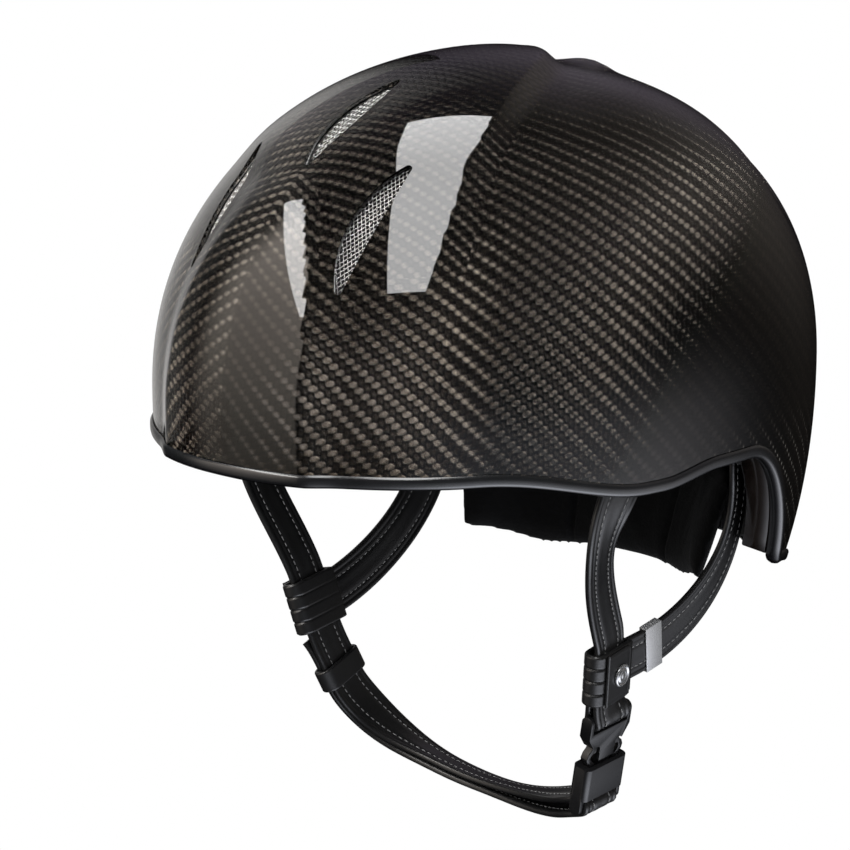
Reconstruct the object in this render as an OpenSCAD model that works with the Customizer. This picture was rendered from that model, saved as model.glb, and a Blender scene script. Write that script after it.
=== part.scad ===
// Jockey helmet: a carbon shell over a foam liner, with sewn pads, mesh vents and a leather chin harness.
// Axes: +Z is up, the front faces -Y and +X is the wearer's left. Lengths are in millimetres.
// The shapes are laid out from a rim datum at z = 0, and then every piece is lowered by seat_z,
// so that the origin is the point where the wearer's crown bears on the crown pad.

/* [Shell] */
// Half of the shell's outer width
half_w = 108; // [98:1:118]
// Length of the shell ahead of its centre
front_len = 144; // [134:1:154]
// Length of the shell behind its centre
rear_len = 136; // [126:1:146]
// Height of the shell's widest line above the rim datum
centre_z = 46; // [42:1:50]
// Rise of the crown above the widest line
crown_rise = 122; // [114:1:130]
// Depth at which the skirt's curve would close below the widest line
skirt_drop = 180; // [160:1:200]
// Squareness of the outline seen from above, where 2 is an ellipse
plan_power = 2.2; // [2:0.05:2.4]
// Squareness of the outline seen from the side, where 2 is an ellipse
side_power = 2.1; // [2:0.05:2.3]
// Share by which the brow is narrower and the back of the head wider
egg = 0.06; // [0:0.01:0.1]
// Wall of the carbon shell
shell_t = 3; // [2:0.1:4]

/* [Rim] */
// Height of the rim at the brow
brow_z = 31; // [26:1:36]
// Fall of the rim from the brow to the temple
temple_dip = 11; // [6:1:14]
// Rise of the rim over the ear
ear_lift = 4; // [1:0.5:7]
// Height of the rim's lower corner behind the ear
corner_z = -27; // [-32:1:-22]
// Height of the rim at the nape
nape_z = -37; // [-44:1:-33]
// Angle from the brow at which the rim starts to fall behind the ear
ear_start = 103; // [100:1:106]
// Angle from the brow of the rim's lower corner behind the ear
ear_end = 124; // [122:1:127]
// Wall of the rubber edge trim
trim_t = 1.2; // [0.8:0.1:1.6]
// Height of the trim's outer lip on the shell
trim_lip = 3.2; // [2.4:0.1:5]
// Clearance between the trim and the shell's edge
trim_gap = 0.15; // [0.1:0.05:0.3]

/* [Raised tongue] */
// How far behind the centre the raised tongue ends
tongue_end_y = 25; // [15:1:35]
// Radius of the tongue's rounded rear end
tongue_nose_r = 10; // [7:0.5:13]
// Slope at which the tongue's sides spread towards the brow
tongue_flare = 0.31; // [0.2:0.01:0.4]
// Depth of the step at the tongue's rear end
step_depth = 5; // [2:0.5:7]
// Width of the sloping step face
step_run = 9; // [6:0.5:14]
// Length over which the surface behind the step rises again
step_return = 36; // [25:1:45]
// How far ahead of the centre the step fades out
step_fade_y = 107; // [95:1:115]

/* [Rear ledge] */
// How far behind the centre the ledge across the back starts
ledge_y = 60; // [52:1:68]
// Depth of the ledge
ledge_depth = 5; // [2:0.5:7]
// Width of the ledge's sloping face
ledge_run = 10; // [7:0.5:14]
// Half width of the ledge before it fades into the sides
ledge_half_w = 55; // [45:1:65]

/* [Front shield] */
// Half width of the front shield
shield_half_w = 35.5; // [30:0.5:40]
// Height of the shield's rounded top above the rim datum
shield_top_z = 126; // [118:1:128]
// Depth of the valley around the shield
valley_depth = 2.5; // [1:0.5:4]
// Width of the valley's inner flank
valley_run = 14; // [10:1:18]

/* [Vents] */
// Length of each vent slot
vent_len = 56; // [44:1:60]
// Width of each vent slot
vent_w = 10; // [8:0.5:12]
// How far ahead of the centre the middle slot lies
mid_vent_y = 75.5; // [70:0.5:84]
// Angle from the brow at which each side slot lies
side_vent_angle = 20; // [18:0.5:23]
// Height of the side slots above the rim datum
side_vent_z = 121; // [116:1:126]
// Long diagonal of a gap in the vent mesh
mesh_long = 3.2; // [2.8:0.1:4]
// Short diagonal of a gap in the vent mesh
mesh_short = 1.9; // [1.6:0.1:2.4]
// Width of a wire in the vent mesh
mesh_wire = 0.5; // [0.4:0.05:0.7]
// Thickness of the vent mesh
mesh_t = 0.6; // [0.4:0.1:1]

/* [Liner and pads] */
// Foam thickness at the sides of the head
liner_side_t = 20; // [16:1:23]
// Foam thickness at the brow and the back
liner_end_t = 28; // [23:1:32]
// Foam thickness at the crown
liner_crown_t = 22; // [18:1:26]
// Height over the rim at which the crown cap of the liner starts
liner_cap_z = 112; // [104:1:118]
// Clearance between the liner and the shell
liner_gap = 0.4; // [0.3:0.1:0.8]
// Clearance between the pads and the liner
pad_gap = 0.5; // [0.4:0.1:0.9]
// Thickness of the headband pad
band_t = 6; // [4:0.5:8]
// Height of the headband pad from edge to edge
band_h = 32; // [24:1:38]
// Thickness of the crown pad
crown_pad_t = 6; // [4:0.5:8]
// Thickness of the neck pad
neck_t = 9; // [6:0.5:12]
// How far the neck pad hangs below the shell at the nape
neck_hang = 23; // [14:1:27]
// Width of the gloss band inside the rim
edge_band_w = 10; // [7:0.5:12]

/* [Harness] */
// Width of the straps
strap_w = 18; // [15:0.5:20]
// Thickness of the straps
strap_t = 2.4; // [1.8:0.1:2.8]
// Angle from the brow at which the front straps hang
front_anchor_angle = 72; // [69:0.5:75]
// Angle from the brow at which the rear straps hang
rear_anchor_angle = 122; // [119:1:124]
// Radius of the rivets that hold the straps
rivet_r = 2; // [1.5:0.1:2.5]
// Thickness of the steel anchor plates
anchor_t = 1.5; // [1:0.1:2]
// Height of the divider loops
loop_h = 21; // [18:0.5:23]
// Leather wall of the divider loops and the keeper
loop_wall = 1.8; // [1.4:0.1:2.2]
// Thickness of the loop flaps
flap_t = 1.2; // [0.8:0.1:1.5]
// Radius of the snap caps
snap_r = 4.5; // [3.5:0.1:5.5]
// Height of the strap keeper
keeper_h = 9; // [7:0.5:10]

/* [Buckle] */
// Thickness of the buckle
buckle_t = 8.4; // [7.4:0.1:9.6]
// Wall of the buckle beside its opening for the prongs
buckle_wall = 1.8; // [1.4:0.1:2.2]
// Depth of the socket from its mouth to its bar slot
socket_h = 14; // [13:0.5:16]
// Radius of the bars that the straps wrap around
bar_r = 1.6; // [1.3:0.1:2]
// Height of the prongs' pivots above the socket's mouth
pivot_z = 7; // [6.5:0.1:8]
// Slope of the barbs that hold the prongs
barb_slope = 0.07; // [0.04:0.01:0.08]

/* [Hidden] */

carbon = [0.09, 0.09, 0.10];
rubber = [0.05, 0.05, 0.05];
leather = [0.12, 0.12, 0.12];
felt = [0.07, 0.07, 0.08];
foam = [0.16, 0.16, 0.17];
plastic = [0.10, 0.10, 0.11];
steel = [0.72, 0.73, 0.75];

// Small running clearance between pieces that touch or slide
slip = 0.3;
// Facets of the small round parts
round_fn = 48;
// Height of the crown, and of the point where the head bears, above the rim datum
crown_z = centre_z + crown_rise;
seat_z = crown_z - shell_t - liner_gap - liner_crown_t - pad_gap - crown_pad_t;

function clamp(v) = min(max(v, 0), 1);
function smooth(v) = let (u = clamp(v)) u * u * (3 - 2 * u);
function unit(v) = v / norm(v);
function mix(a, b, share) = a + (b - a) * share;

// The dome: a point at angle phi from the brow, and at rise tau from the widest line to the crown
function plan_reach(phi) =
    let (wide = half_w * (1 - egg * cos(phi)), long = cos(phi) > 0 ? front_len : rear_len)
    pow(pow(abs(sin(phi)) / wide, plan_power) + pow(abs(cos(phi)) / long, plan_power), -1 / plan_power);
function tall_at(up) = up > 0 ? crown_rise : skirt_drop;
function dome(phi, tau) =
    let (reach = plan_reach(phi) * pow(abs(cos(tau)), 2 / side_power))
    [sin(phi) * reach, -cos(phi) * reach,
        centre_z + sign(tau) * tall_at(tau) * pow(abs(sin(tau)), 2 / side_power)];
function tau_at(z) =
    let (share = (z - centre_z) / tall_at(z - centre_z))
    sign(share) * asin(pow(min(abs(share), 1), side_power / 2));
function dome_normal(p) =
    let (wide = half_w * (1 + egg * p.y / max(norm([p.x, p.y]), 1)),
        long = p.y < 0 ? front_len : rear_len,
        tall = tall_at(p.z - centre_z),
        u = abs(p.x) / wide,
        v = abs(p.y) / long,
        plan = max(pow(u, plan_power) + pow(v, plan_power), 0.000001),
        lean = pow(plan, side_power / plan_power - 1))
    unit([sign(p.x) * lean * pow(u, plan_power - 1) / wide,
        sign(p.y) * lean * pow(v, plan_power - 1) / long,
        sign(p.z - centre_z) * pow(abs(p.z - centre_z) / tall, side_power - 1) / tall]);
// A point at a depth below the smooth dome
function under(phi, tau, depth) = let (b = dome(phi, tau)) b - dome_normal(b) * depth;

// The raised tongue's outline is a conic, and off_tongue is the distance outside it, seen from above
function off_tongue(p) =
    let (back = max(tongue_end_y - p.y, -60),
        value = p.x * p.x - 2 * tongue_nose_r * back - pow(tongue_flare * back, 2))
    value / norm([2 * p.x, 2 * tongue_nose_r + 2 * pow(tongue_flare, 2) * back]);
function tongue_relief(p) =
    let (off = off_tongue(p), share = smooth((p.y + step_fade_y) / (tongue_end_y + step_fade_y)))
    -step_depth * share * smooth(off / step_run) * (1 - smooth((off - step_run) / step_return));
function ledge_relief(p) =
    let (off = p.y - ledge_y - 0.17 * abs(p.x))
    -ledge_depth * smooth(off / ledge_run) * (1 - smooth((off - ledge_run) / 18))
        * (1 - smooth((abs(p.x) - ledge_half_w) / 30));
function shield_relief(p) =
    let (rise = max(0, (p.z - 80) / (shield_top_z - 80)),
        off = shield_half_w * (sqrt(pow(p.x / shield_half_w, 2) + pow(rise, 2.6)) - 1))
    -valley_depth * smooth(off / valley_run) * (1 - smooth((off - 14) / 22))
        * smooth((-p.y - 50) / 35) * (1 - smooth((p.z - 128) / 16));
function relief(p) = tongue_relief(p) + ledge_relief(p) + shield_relief(p);

// The rim's height at an angle from the brow, on either side
function fold(phi) = abs(phi > 180 ? 360 - phi : phi);
function rim_z(phi) =
    let (a = fold(phi),
        upper = brow_z - temple_dip * smooth((a - 40) / 34) + ear_lift * smooth((a - 78) / 16),
        fall = pow(clamp((a - ear_start) / (ear_end - ear_start)), 2.2),
        lower = mix(corner_z, nape_z, smooth((a - ear_end) / 24)))
    mix(upper, lower, fall);
// The rim moved up by an inset that is measured square to its edge
function rim_inset_z(phi, inset) =
    let (slope = (rim_z(phi + 1) - rim_z(phi - 1)) / norm(dome(phi + 1, 0) - dome(phi - 1, 0)))
    rim_z(phi) + inset * sqrt(1 + slope * slope);
// A frame on the rim: its point on the outer face, the outward normal and the way up into the wall
function rim_point(phi) = let (b = dome(phi, tau_at(rim_z(phi)))) b + dome_normal(b) * relief(b);
function rim_frame(phi) =
    let (p = rim_point(phi), n = dome_normal(dome(phi, tau_at(rim_z(phi)))),
        along = unit(rim_point(phi + 0.5) - rim_point(phi - 0.5)))
    [p, n, unit(cross(n, along))];

// Angles of the columns that all the ring-shaped pieces share, closer together behind the ear
half_angles = concat([for (i = [0:16]) ear_start * i / 17],
    [for (i = [0:9]) mix(ear_start, ear_end, i / 10)],
    [for (i = [0:9]) mix(ear_end, 180, i / 9)]);
angles = concat(half_angles, [for (i = [len(half_angles) - 2:-1:1]) 360 - half_angles[i]]);

// A closed cap between an outer and an inner skin, from a lower edge up to the crown
module cap_solid(columns, low, rows, outer, inner) {
    n = len(columns);
    size = n * rows + 1;
    points = [for (skin = [outer, inner]) each concat(
        [for (phi = columns) for (r = [0:rows - 1]) skin(phi, mix(low(phi), 90, r / rows))],
        [skin(0, 90)])];
    walls = [for (c = [0:n - 1]) let (a = c * rows, b = ((c + 1) % n) * rows) each concat(
        [for (r = [0:rows - 2]) each [[a + r, a + r + 1, b + r + 1], [a + r, b + r + 1, b + r]]],
        [[a + rows - 1, size - 1, b + rows - 1]])];
    inside = [for (f = walls) [size + f[0], size + f[2], size + f[1]]];
    rims = [for (c = [0:n - 1]) let (a = c * rows, b = ((c + 1) % n) * rows)
        each [[a, b, size + b], [a, size + b, size + a]]];
    polyhedron(points, concat(walls, inside, rims), convexity = 10);
}

// A solid swept through sections, each listed counter-clockwise about the way that the sweep travels
module sweep(sections, closed = false) {
    k = len(sections[0]);
    n = len(sections);
    spans = closed ? n - 1 : n - 2;
    walls = [for (i = [0:spans]) for (j = [0:k - 1])
        let (a = i * k + j, b = i * k + (j + 1) % k, c = ((i + 1) % n) * k + (j + 1) % k,
            d = ((i + 1) % n) * k + j) each [[a, c, b], [a, d, c]]];
    end = (n - 1) * k;
    caps = closed ? [] : [for (j = [1:k - 2]) each [[0, j, j + 1], [end, end + j + 1, end + j]]];
    polyhedron([for (s = sections) each s], concat(walls, caps), convexity = 10);
}

// Carbon shell
function wall_skin(depth) = function(phi, tau)
    let (b = dome(phi, tau)) b + dome_normal(b) * (relief(b) - depth);
module outer_shell() {
    color(carbon) difference() {
        cap_solid(angles, function(phi) tau_at(rim_z(phi)), 24, wall_skin(0), wall_skin(shell_t));
        for (v = vents) at_vent(v) vent_well(v, 0);
    }
}

// Rubber trim that holds the shell's edge in its channel
module edge_trim() {
    g = trim_gap;
    in_face = -shell_t - g;
    bend = trim_t / 2;
    profile = [[g, trim_lip], [g + trim_t, trim_lip - bend], [g + trim_t, -bend],
        [-shell_t / 2, -g - 1.6 * trim_t], [in_face - trim_t, -bend], [in_face - trim_t, trim_lip - 2 * bend],
        [in_face, trim_lip - bend], [in_face, -g], [g, -g]];
    color(rubber) sweep([for (phi = angles) let (f = rim_frame(phi))
        [for (s = profile) f[0] + f[1] * s.x + f[2] * s.y]], true);
}

// Gloss band that covers the liner's lower edge
edge_band_t = 1;
edge_band_gap = 1.2;
liner_inset = 3;
module inner_edge_band() {
    start = shell_t + trim_gap + trim_t + slip;
    top = liner_inset - edge_band_gap;
    profile = [[-start, top], [-start, top - edge_band_t], [-start - edge_band_w, top - edge_band_t],
        [-start - edge_band_w, top]];
    color(plastic) difference() {
        sweep([for (phi = angles) let (f = rim_frame(phi))
            [for (s = profile) f[0] + f[1] * s.x + f[2] * s.y]], true);
        strap_ways();
    }
}

// Foam liner
function foam_t(phi, tau) =
    let (low = pow(cos(tau), 2))
    mix(liner_crown_t, mix(liner_side_t, liner_end_t, pow(cos(phi), 2)), low);
function liner_depth(phi, tau) = shell_t + liner_gap + foam_t(phi, tau);
// The foam stays under the deepest relief nearby, because its facets are longer than the shell's
function sunk(phi, tau) =
    min([for (a = [-6, 0, 6]) for (b = [-6, -3, 0, 3, 6]) relief(dome(phi + a, min(tau + b, 90)))]);
module liner_foam() {
    difference() {
        cap_solid(angles, function(phi) tau_at(rim_inset_z(phi, liner_inset)), 13,
            function(phi, tau) under(phi, tau, shell_t + liner_gap - sunk(phi, tau)),
            function(phi, tau) under(phi, tau, liner_depth(phi, tau)));
        for (v = vents) at_vent(v) {
            intersection() {
                bent_layer(v, mesh_t + slip, vent_cut);
                vent_well(v, mesh_rim + slip);
            }
            translate([0, 0, -liner_cut]) linear_extrude(liner_cut) vent_outline(v, 0);
        }
        strap_ways();
    }
}
// The crown of the liner is a cap of its own, laid on the level top of the walls
module over_walls() {
    translate([0, 0, liner_cap_z + front_len]) cube(2 * front_len, center = true);
}
module impact_liner() { color(foam) difference() { liner_foam(); over_walls(); } }
module crown_liner() { color(foam) intersection() { liner_foam(); over_walls(); } }

// Vents: each has its angle from the brow, its height, the side it lies on and the relief over it
mid_vent_z = let (reach = mid_vent_y / front_len)
    centre_z + crown_rise * pow(1 - pow(reach, side_power), 1 / side_power);
vents = [[0, mid_vent_z, 0, 1.2], [side_vent_angle, side_vent_z, 1, valley_depth],
    [-side_vent_angle, side_vent_z, -1, valley_depth]];
vent_cut = 14;
liner_cut = 60;
// The slots run straight to the back, seen from above
function vent_frame(v) =
    let (b = dome(v[0], tau_at(v[1])), n = dome_normal(b), up = unit([0, n.z, -n.y]))
    [b, unit(cross(up, n)), up, n];
module at_vent(v) {
    f = vent_frame(v);
    multmatrix([for (i = [0:2]) [f[1][i], f[2][i], f[3][i], f[0][i]]]) children();
}
// The mesh is bent in three flats that follow the shell along the slot
mesh_rim = 1.2;
mesh_flat = (vent_len + 2 * mesh_rim) / 3;
mesh_turn = 8.5;
mesh_bulge = 0.6;
module bent_layer(v, below, above) {
    reach = 1.5 * mesh_flat + 1;
    fall = mesh_flat * tan(mesh_turn) + tan(mesh_turn);
    line = [[-reach, -fall], [-mesh_flat / 2, 0], [mesh_flat / 2, 0], [reach, -fall]];
    translate([-vent_w, 0, -shell_t - slip - v[3] - mesh_bulge]) rotate([90, 0, 90])
        linear_extrude(2 * vent_w)
        polygon(concat([for (i = [3:-1:0]) line[i] + [0, above]], [for (p = line) p - [0, below]]));
}
module vent_well(v, margin) {
    translate([0, 0, -vent_cut]) linear_extrude(2 * vent_cut) vent_outline(v, margin);
}
// A lens between two arcs, where a bend of 1 makes the outer edge nearly straight
function arc_r(half_len, rise) = (half_len * half_len + rise * rise) / (2 * rise);
function vent_arcs(v, margin) =
    let (half_len = vent_len / 2 + margin, bulge = v[2] == 0 ? 0.5 : 0.86,
        in_rise = vent_w * bulge + margin, out_rise = vent_w * (1 - bulge) + margin)
    [arc_r(half_len, in_rise), in_rise, arc_r(half_len, out_rise), out_rise];
module vent_outline(v, margin) {
    arcs = vent_arcs(v, margin);
    side = v[2] < 0 ? -1 : 1;
    intersection() {
        translate([side * (arcs[0] - arcs[1]), 0]) circle(arcs[0], $fn = 180);
        translate([side * (arcs[3] - arcs[2]), 0]) circle(arcs[2], $fn = 180);
    }
}
function in_vent(v, x, y, margin) =
    let (arcs = vent_arcs(v, margin), side = v[2] < 0 ? -1 : 1)
    norm([x - side * (arcs[0] - arcs[1]), y]) < arcs[0]
        && norm([x - side * (arcs[3] - arcs[2]), y]) < arcs[2];
// Diamond gaps in staggered rows, kept clear of the mesh's solid border
module vent_mesh(v) {
    pitch_x = mesh_short + mesh_wire * 1.3;
    pitch_y = mesh_long + mesh_wire * 2;
    rows = ceil(vent_len / pitch_y);
    across = ceil(vent_w / pitch_x) + 1;
    color(steel) at_vent(v) difference() {
        intersection() {
            bent_layer(v, mesh_t, 0);
            vent_well(v, mesh_rim);
        }
        translate([0, 0, -vent_cut]) linear_extrude(2 * vent_cut)
            for (r = [-rows:rows]) for (c = [-across:across])
                let (x = (c + (r % 2 == 0 ? 0 : 0.5)) * pitch_x, y = r * pitch_y / 2)
                    if (in_vent(v, x, y, -0.6)) translate([x, y]) diamond_gap();
    }
}
module diamond_gap() {
    polygon([[mesh_short / 2, 0], [0, mesh_long / 2], [-mesh_short / 2, 0], [0, -mesh_long / 2]]);
}
module centre_vent_mesh() { vent_mesh(vents[0]); }
module left_vent_mesh() { vent_mesh(vents[1]); }
module right_vent_mesh() { vent_mesh(vents[2]); }

// Crown pad: a quilted cushion whose seams meet short of the middle
crown_pad_low = 62;
crown_seams = 8;
felt_edge = 0.6;
function crown_seam(phi) = abs(phi * crown_seams / 360 - round(phi * crown_seams / 360)) < 0.01 ? 0.45 : 0;
function crown_felt(phi, tau) =
    let (out = (90 - tau) / (90 - crown_pad_low), full = sqrt(max(1 - pow(out, 5), 0)))
    mix(felt_edge, crown_pad_t, full * (1 - crown_seam(phi) * smooth((out - 0.25) / 0.3)));
module crown_pad() {
    columns = [for (i = [0:31]) i * 360 / 32];
    color(felt) cap_solid(columns, function(phi) crown_pad_low, 6,
        function(phi, tau) under(phi, tau, liner_depth(phi, tau) + pad_gap),
        function(phi, tau) under(phi, tau, liner_depth(phi, tau) + pad_gap + crown_felt(phi, tau)));
}

// A point inside the liner at a height, moved in by a pad's own depth
function on_liner(phi, z, depth) =
    let (tau = tau_at(z)) under(phi, tau, liner_depth(phi, tau) + pad_gap + depth);

// Headband pad: a padded ring with drawn-in edges and upright sewn channels
band_low_z = 42;
band_channel = 6;
module headband_pad() {
    profile = [[1, 0], [0, 0], [0.03, 0.55], [0.2, 0.95], [0.5, 1], [0.8, 0.95], [0.97, 0.55]];
    color(felt) sweep([for (i = [0:len(angles) - 1])
        let (full = i % band_channel == 3 ? 0.5 : i % band_channel == 0 ? 1 : 0.92)
        [for (s = profile) on_liner(angles[i], band_low_z + band_h * s.x, band_t * s.y * full)]], true);
}

// Neck pad: it follows the liner at the nape, with a seam along its lower edge and two upright channels
neck_half_angle = 50.5;
neck_top_z = -4;
neck_rise = 10;
module neck_pad() {
    profile = [[1, 0], [0, 0], [0.02, 0.5], [0.07, 0.8], [0.12, 0.62], [0.2, 0.92], [0.55, 1],
        [0.9, 0.9], [0.99, 0.5]];
    steps = 24;
    color(felt) sweep([for (i = [0:steps])
        let (turn = mix(-1, 1, i / steps), phi = 180 + neck_half_angle * turn,
            low = nape_z - neck_hang + neck_rise * smooth((abs(turn) - 0.45) / 0.55),
            full = (abs(turn) > 0.97 ? 0.35 : abs(turn) > 0.9 ? 0.8 : 1) * (i % 8 == 4 ? 0.62 : 1))
        [for (s = profile) on_liner(phi, mix(low, neck_top_z, s.x), neck_t * s.y * full)]]);
}

// Strap anchors, as [angle, height, depth] on the left side
front_anchor = [front_anchor_angle, 38, shell_t + 5];
rear_anchor = [rear_anchor_angle, 22, liner_depth(rear_anchor_angle, tau_at(22)) - 3];
anchor_up = 12;
anchor_down = 14;
pocket_side = strap_w / 2 + 2;
function anchor_point(a) = under(a[0], tau_at(a[1]), a[2]);
function anchor_turn(a) = let (n = dome_normal(dome(a[0], tau_at(a[1])))) atan2(n.y, n.x);
function anchor_out(a) = [cos(anchor_turn(a)), sin(anchor_turn(a)), 0];
module on_side(side) {
    if (side > 0) children();
    else mirror([1, 0, 0]) children();
}
module at_anchor(a, side) {
    on_side(side) translate(anchor_point(a)) rotate([0, 0, anchor_turn(a)]) children();
}
module each_anchor() {
    for (side = [1, -1]) for (a = [front_anchor, rear_anchor]) at_anchor(a, side) children();
}
rivet_head_r = 4.2;
rivet_head_t = 1;
plate_x = strap_t / 2 + 0.2;
module strap_anchor_plates() {
    color(steel) each_anchor() difference() {
        translate([plate_x, -strap_w / 2, -9]) cube([anchor_t, strap_w, 20]);
        rotate([0, 90, 0]) cylinder(r = rivet_r + 0.1, h = 30, center = true, $fn = round_fn);
    }
}
module strap_rivets() {
    out_x = plate_x + anchor_t + 0.2;
    in_x = -strap_t / 2 - 0.2;
    color(steel) each_anchor() rotate([0, 90, 0]) {
        translate([0, 0, in_x]) cylinder(r = rivet_r, h = out_x - in_x, $fn = round_fn);
        translate([0, 0, out_x]) cylinder(r = rivet_head_r, h = rivet_head_t, $fn = round_fn);
        translate([0, 0, in_x - rivet_head_t]) cylinder(r = rivet_head_r, h = rivet_head_t, $fn = round_fn);
    }
}
// Ways through the liner and the gloss band for the straps and their anchors
module strap_ways() {
    inner = strap_t / 2 + 0.2 + rivet_head_t + slip;
    outer = plate_x + anchor_t + 0.2 + rivet_head_t + slip;
    long = 100;
    back_room = 4;
    for (side = [1, -1]) {
        at_anchor(front_anchor, side) translate([-inner, -pocket_side, anchor_up + 1 - long])
            cube([inner + 30, 2 * pocket_side, long]);
        at_anchor(rear_anchor, side) translate([-30, -pocket_side, anchor_up + 1 - long])
            cube([30 + outer, 2 * pocket_side + back_room, long]);
    }
}

// Harness joints: where the divider loops, the keeper and the buckle hang, and how they lean
left_divider = [half_w - 37, -13, -59];
right_divider = [half_w - 36, -22, -57];
left_lean = [6, 7, 8];
right_lean = [9, 14, 2];
buckle_at = [half_w - 44, -7, -96];
buckle_lean = [7, 15, 0];
keeper_lean = [20, 14, 2];
keeper_at = right_divider - lean_axis(right_lean, 12) - lean_axis(keeper_lean, 18);
// The way up the strap, the way outward and the way rearward of a leaning frame
function spin(v, turn) = [v.x * cos(turn) - v.y * sin(turn), v.x * sin(turn) + v.y * cos(turn), v.z];
function lean_axis(lean, reach) =
    reach * spin([cos(lean.x) * sin(lean.y), -sin(lean.x), cos(lean.x) * cos(lean.y)], lean.z);
function lean_out(lean) = spin([cos(lean.y), 0, -sin(lean.y)], lean.z);
function lean_across(lean) = cross(lean_axis(lean, 1), lean_out(lean));
module at_left_divider() { translate(left_divider) rotate(left_lean) children(); }
module at_right_divider() { mirror([1, 0, 0]) translate(right_divider) rotate(right_lean) children(); }
module at_keeper() { mirror([1, 0, 0]) translate(keeper_at) rotate(keeper_lean) children(); }
module at_buckle() { translate(buckle_at) rotate(buckle_lean) children(); }
function buckle_point(x, z) = buckle_at + lean_out(buckle_lean) * x + lean_axis(buckle_lean, z);

function bezier(a, b, c, d, t) =
    a * pow(1 - t, 3) + b * 3 * t * pow(1 - t, 2) + c * 3 * t * t * (1 - t) + d * pow(t, 3);
function curve(a, b, c, d, steps) = [for (i = [1:steps]) bezier(a, b, c, d, i / steps)];
// A flat strap with eased edges along a route, where each point has the way that its outer face looks
edge_ease = 0.25;
module ribbon(route, outs) {
    last = len(route) - 1;
    half = strap_w / 2;
    flat = strap_t / 2;
    ease = strap_t * edge_ease;
    profile = [[-half, -flat + ease], [-half + ease, -flat], [half - ease, -flat], [half, -flat + ease],
        [half, flat - ease], [half - ease, flat], [-half + ease, flat], [-half, flat - ease]];
    sweep([for (i = [0:last])
        let (along = unit(route[min(i + 1, last)] - route[max(i - 1, 0)]),
            across = unit(cross(outs[i], along)), out = cross(along, across))
        [for (s = profile) route[i] + across * s.x + out * s.y]]);
}
function blend(a, b, steps) = [for (i = [1:steps]) unit(mix(a, b, smooth(i / steps)))];

// Two layers of strap lie this far either side of the middle of a loop
layer = strap_t / 2 + slip / 2;
wrap_r = bar_r + slip + strap_t / 2;
plug_bar_z = 20;
socket_bar_z = -socket_h - wrap_r - strap_t / 2 - slip;

// How far the front straps bow forward on their way down
left_bow = 20;
right_bow = 6;
// The upper strap of a side: from its anchor, down out of the liner and on to its divider
function anchor_route(a) = [anchor_point(a) + [0, 0, anchor_up], anchor_point(a), anchor_point(a) - [0, 0, anchor_down]];
function anchor_outs(a) = [for (i = [0:2]) anchor_out(a)];
function drop_route(a, divider, lean, shift, bow) =
    let (top = anchor_point(a) - [0, 0, anchor_down],
        end = divider + lean_axis(lean, loop_h / 2 + 2) + lean_out(lean) * shift)
    concat(anchor_route(a), curve(top, top + [0, -bow, -26], end + lean_axis(lean, 26) - [0, bow / 2, 0], end, 10),
        [divider + lean_axis(lean, -loop_h / 2 - 1) + lean_out(lean) * shift]);
// The strap takes its loop's turn within the upper half of the way
function drop_outs(a, lean) =
    concat(anchor_outs(a), blend(anchor_out(a), lean_out(lean), 5), [for (i = [0:5]) lean_out(lean)]);

module left_front_strap() {
    turns = [for (t = [0:-30:-180]) [cos(t), sin(t)]];
    back = left_divider - lean_out(left_lean) * layer;
    route = concat(drop_route(front_anchor, left_divider, left_lean, layer, left_bow),
        [for (t = turns) buckle_point(wrap_r * t.x, plug_bar_z + wrap_r * t.y)],
        [back + lean_axis(left_lean, -loop_h / 2 - 1), back + lean_axis(left_lean, loop_h / 2 - 2)]);
    outs = concat(drop_outs(front_anchor, left_lean),
        [for (t = turns) lean_out(buckle_lean) * t.x + lean_axis(buckle_lean, t.y)],
        [-lean_out(left_lean), -lean_out(left_lean)]);
    color(leather) difference() {
        ribbon(route, outs);
        at_anchor(front_anchor, 1) rivet_hole();
    }
}
module rivet_hole() {
    rotate([0, 90, 0]) cylinder(r = rivet_r + 0.1, h = 12, center = true, $fn = round_fn);
}
module right_front_strap() {
    down = keeper_at - lean_out(keeper_lean) * layer;
    route = concat(drop_route(front_anchor, right_divider, right_lean, -layer, right_bow), [down]);
    outs = concat(drop_outs(front_anchor, right_lean), [lean_out(keeper_lean)]);
    color(leather) mirror([1, 0, 0]) difference() {
        ribbon(route, outs);
        at_anchor(front_anchor, 1) rivet_hole();
    }
}

// The rear strap of a side ends square on the back of its divider loop, and sags more on the left
function rear_route(divider, lean, sag) =
    let (top = anchor_point(rear_anchor) - [0, 0, anchor_down],
        end = divider + lean_across(lean) * loop_reach,
        lead = end + lean_across(lean) * 3)
    concat(anchor_route(rear_anchor), curve(top, top + [-6, 6 + 7 * sag, -32 - 10 * sag],
        lead + lean_across(lean) * 16 + [3 * sag, 14 + 10 * sag, 6 - 6 * sag], lead, 12), [end]);
function rear_outs(lean) =
    concat(anchor_outs(rear_anchor), blend(anchor_out(rear_anchor), lean_out(lean), 12), [lean_out(lean)]);
module rear_strap(divider, lean, sag) {
    color(leather) difference() {
        ribbon(rear_route(divider, lean, sag), rear_outs(lean));
        at_anchor(rear_anchor, 1) rivet_hole();
    }
}
left_sag = 0.8;
module left_rear_strap() { rear_strap(left_divider, left_lean, left_sag); }
module right_rear_strap() { mirror([1, 0, 0]) rear_strap(right_divider, right_lean, 0); }

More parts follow.
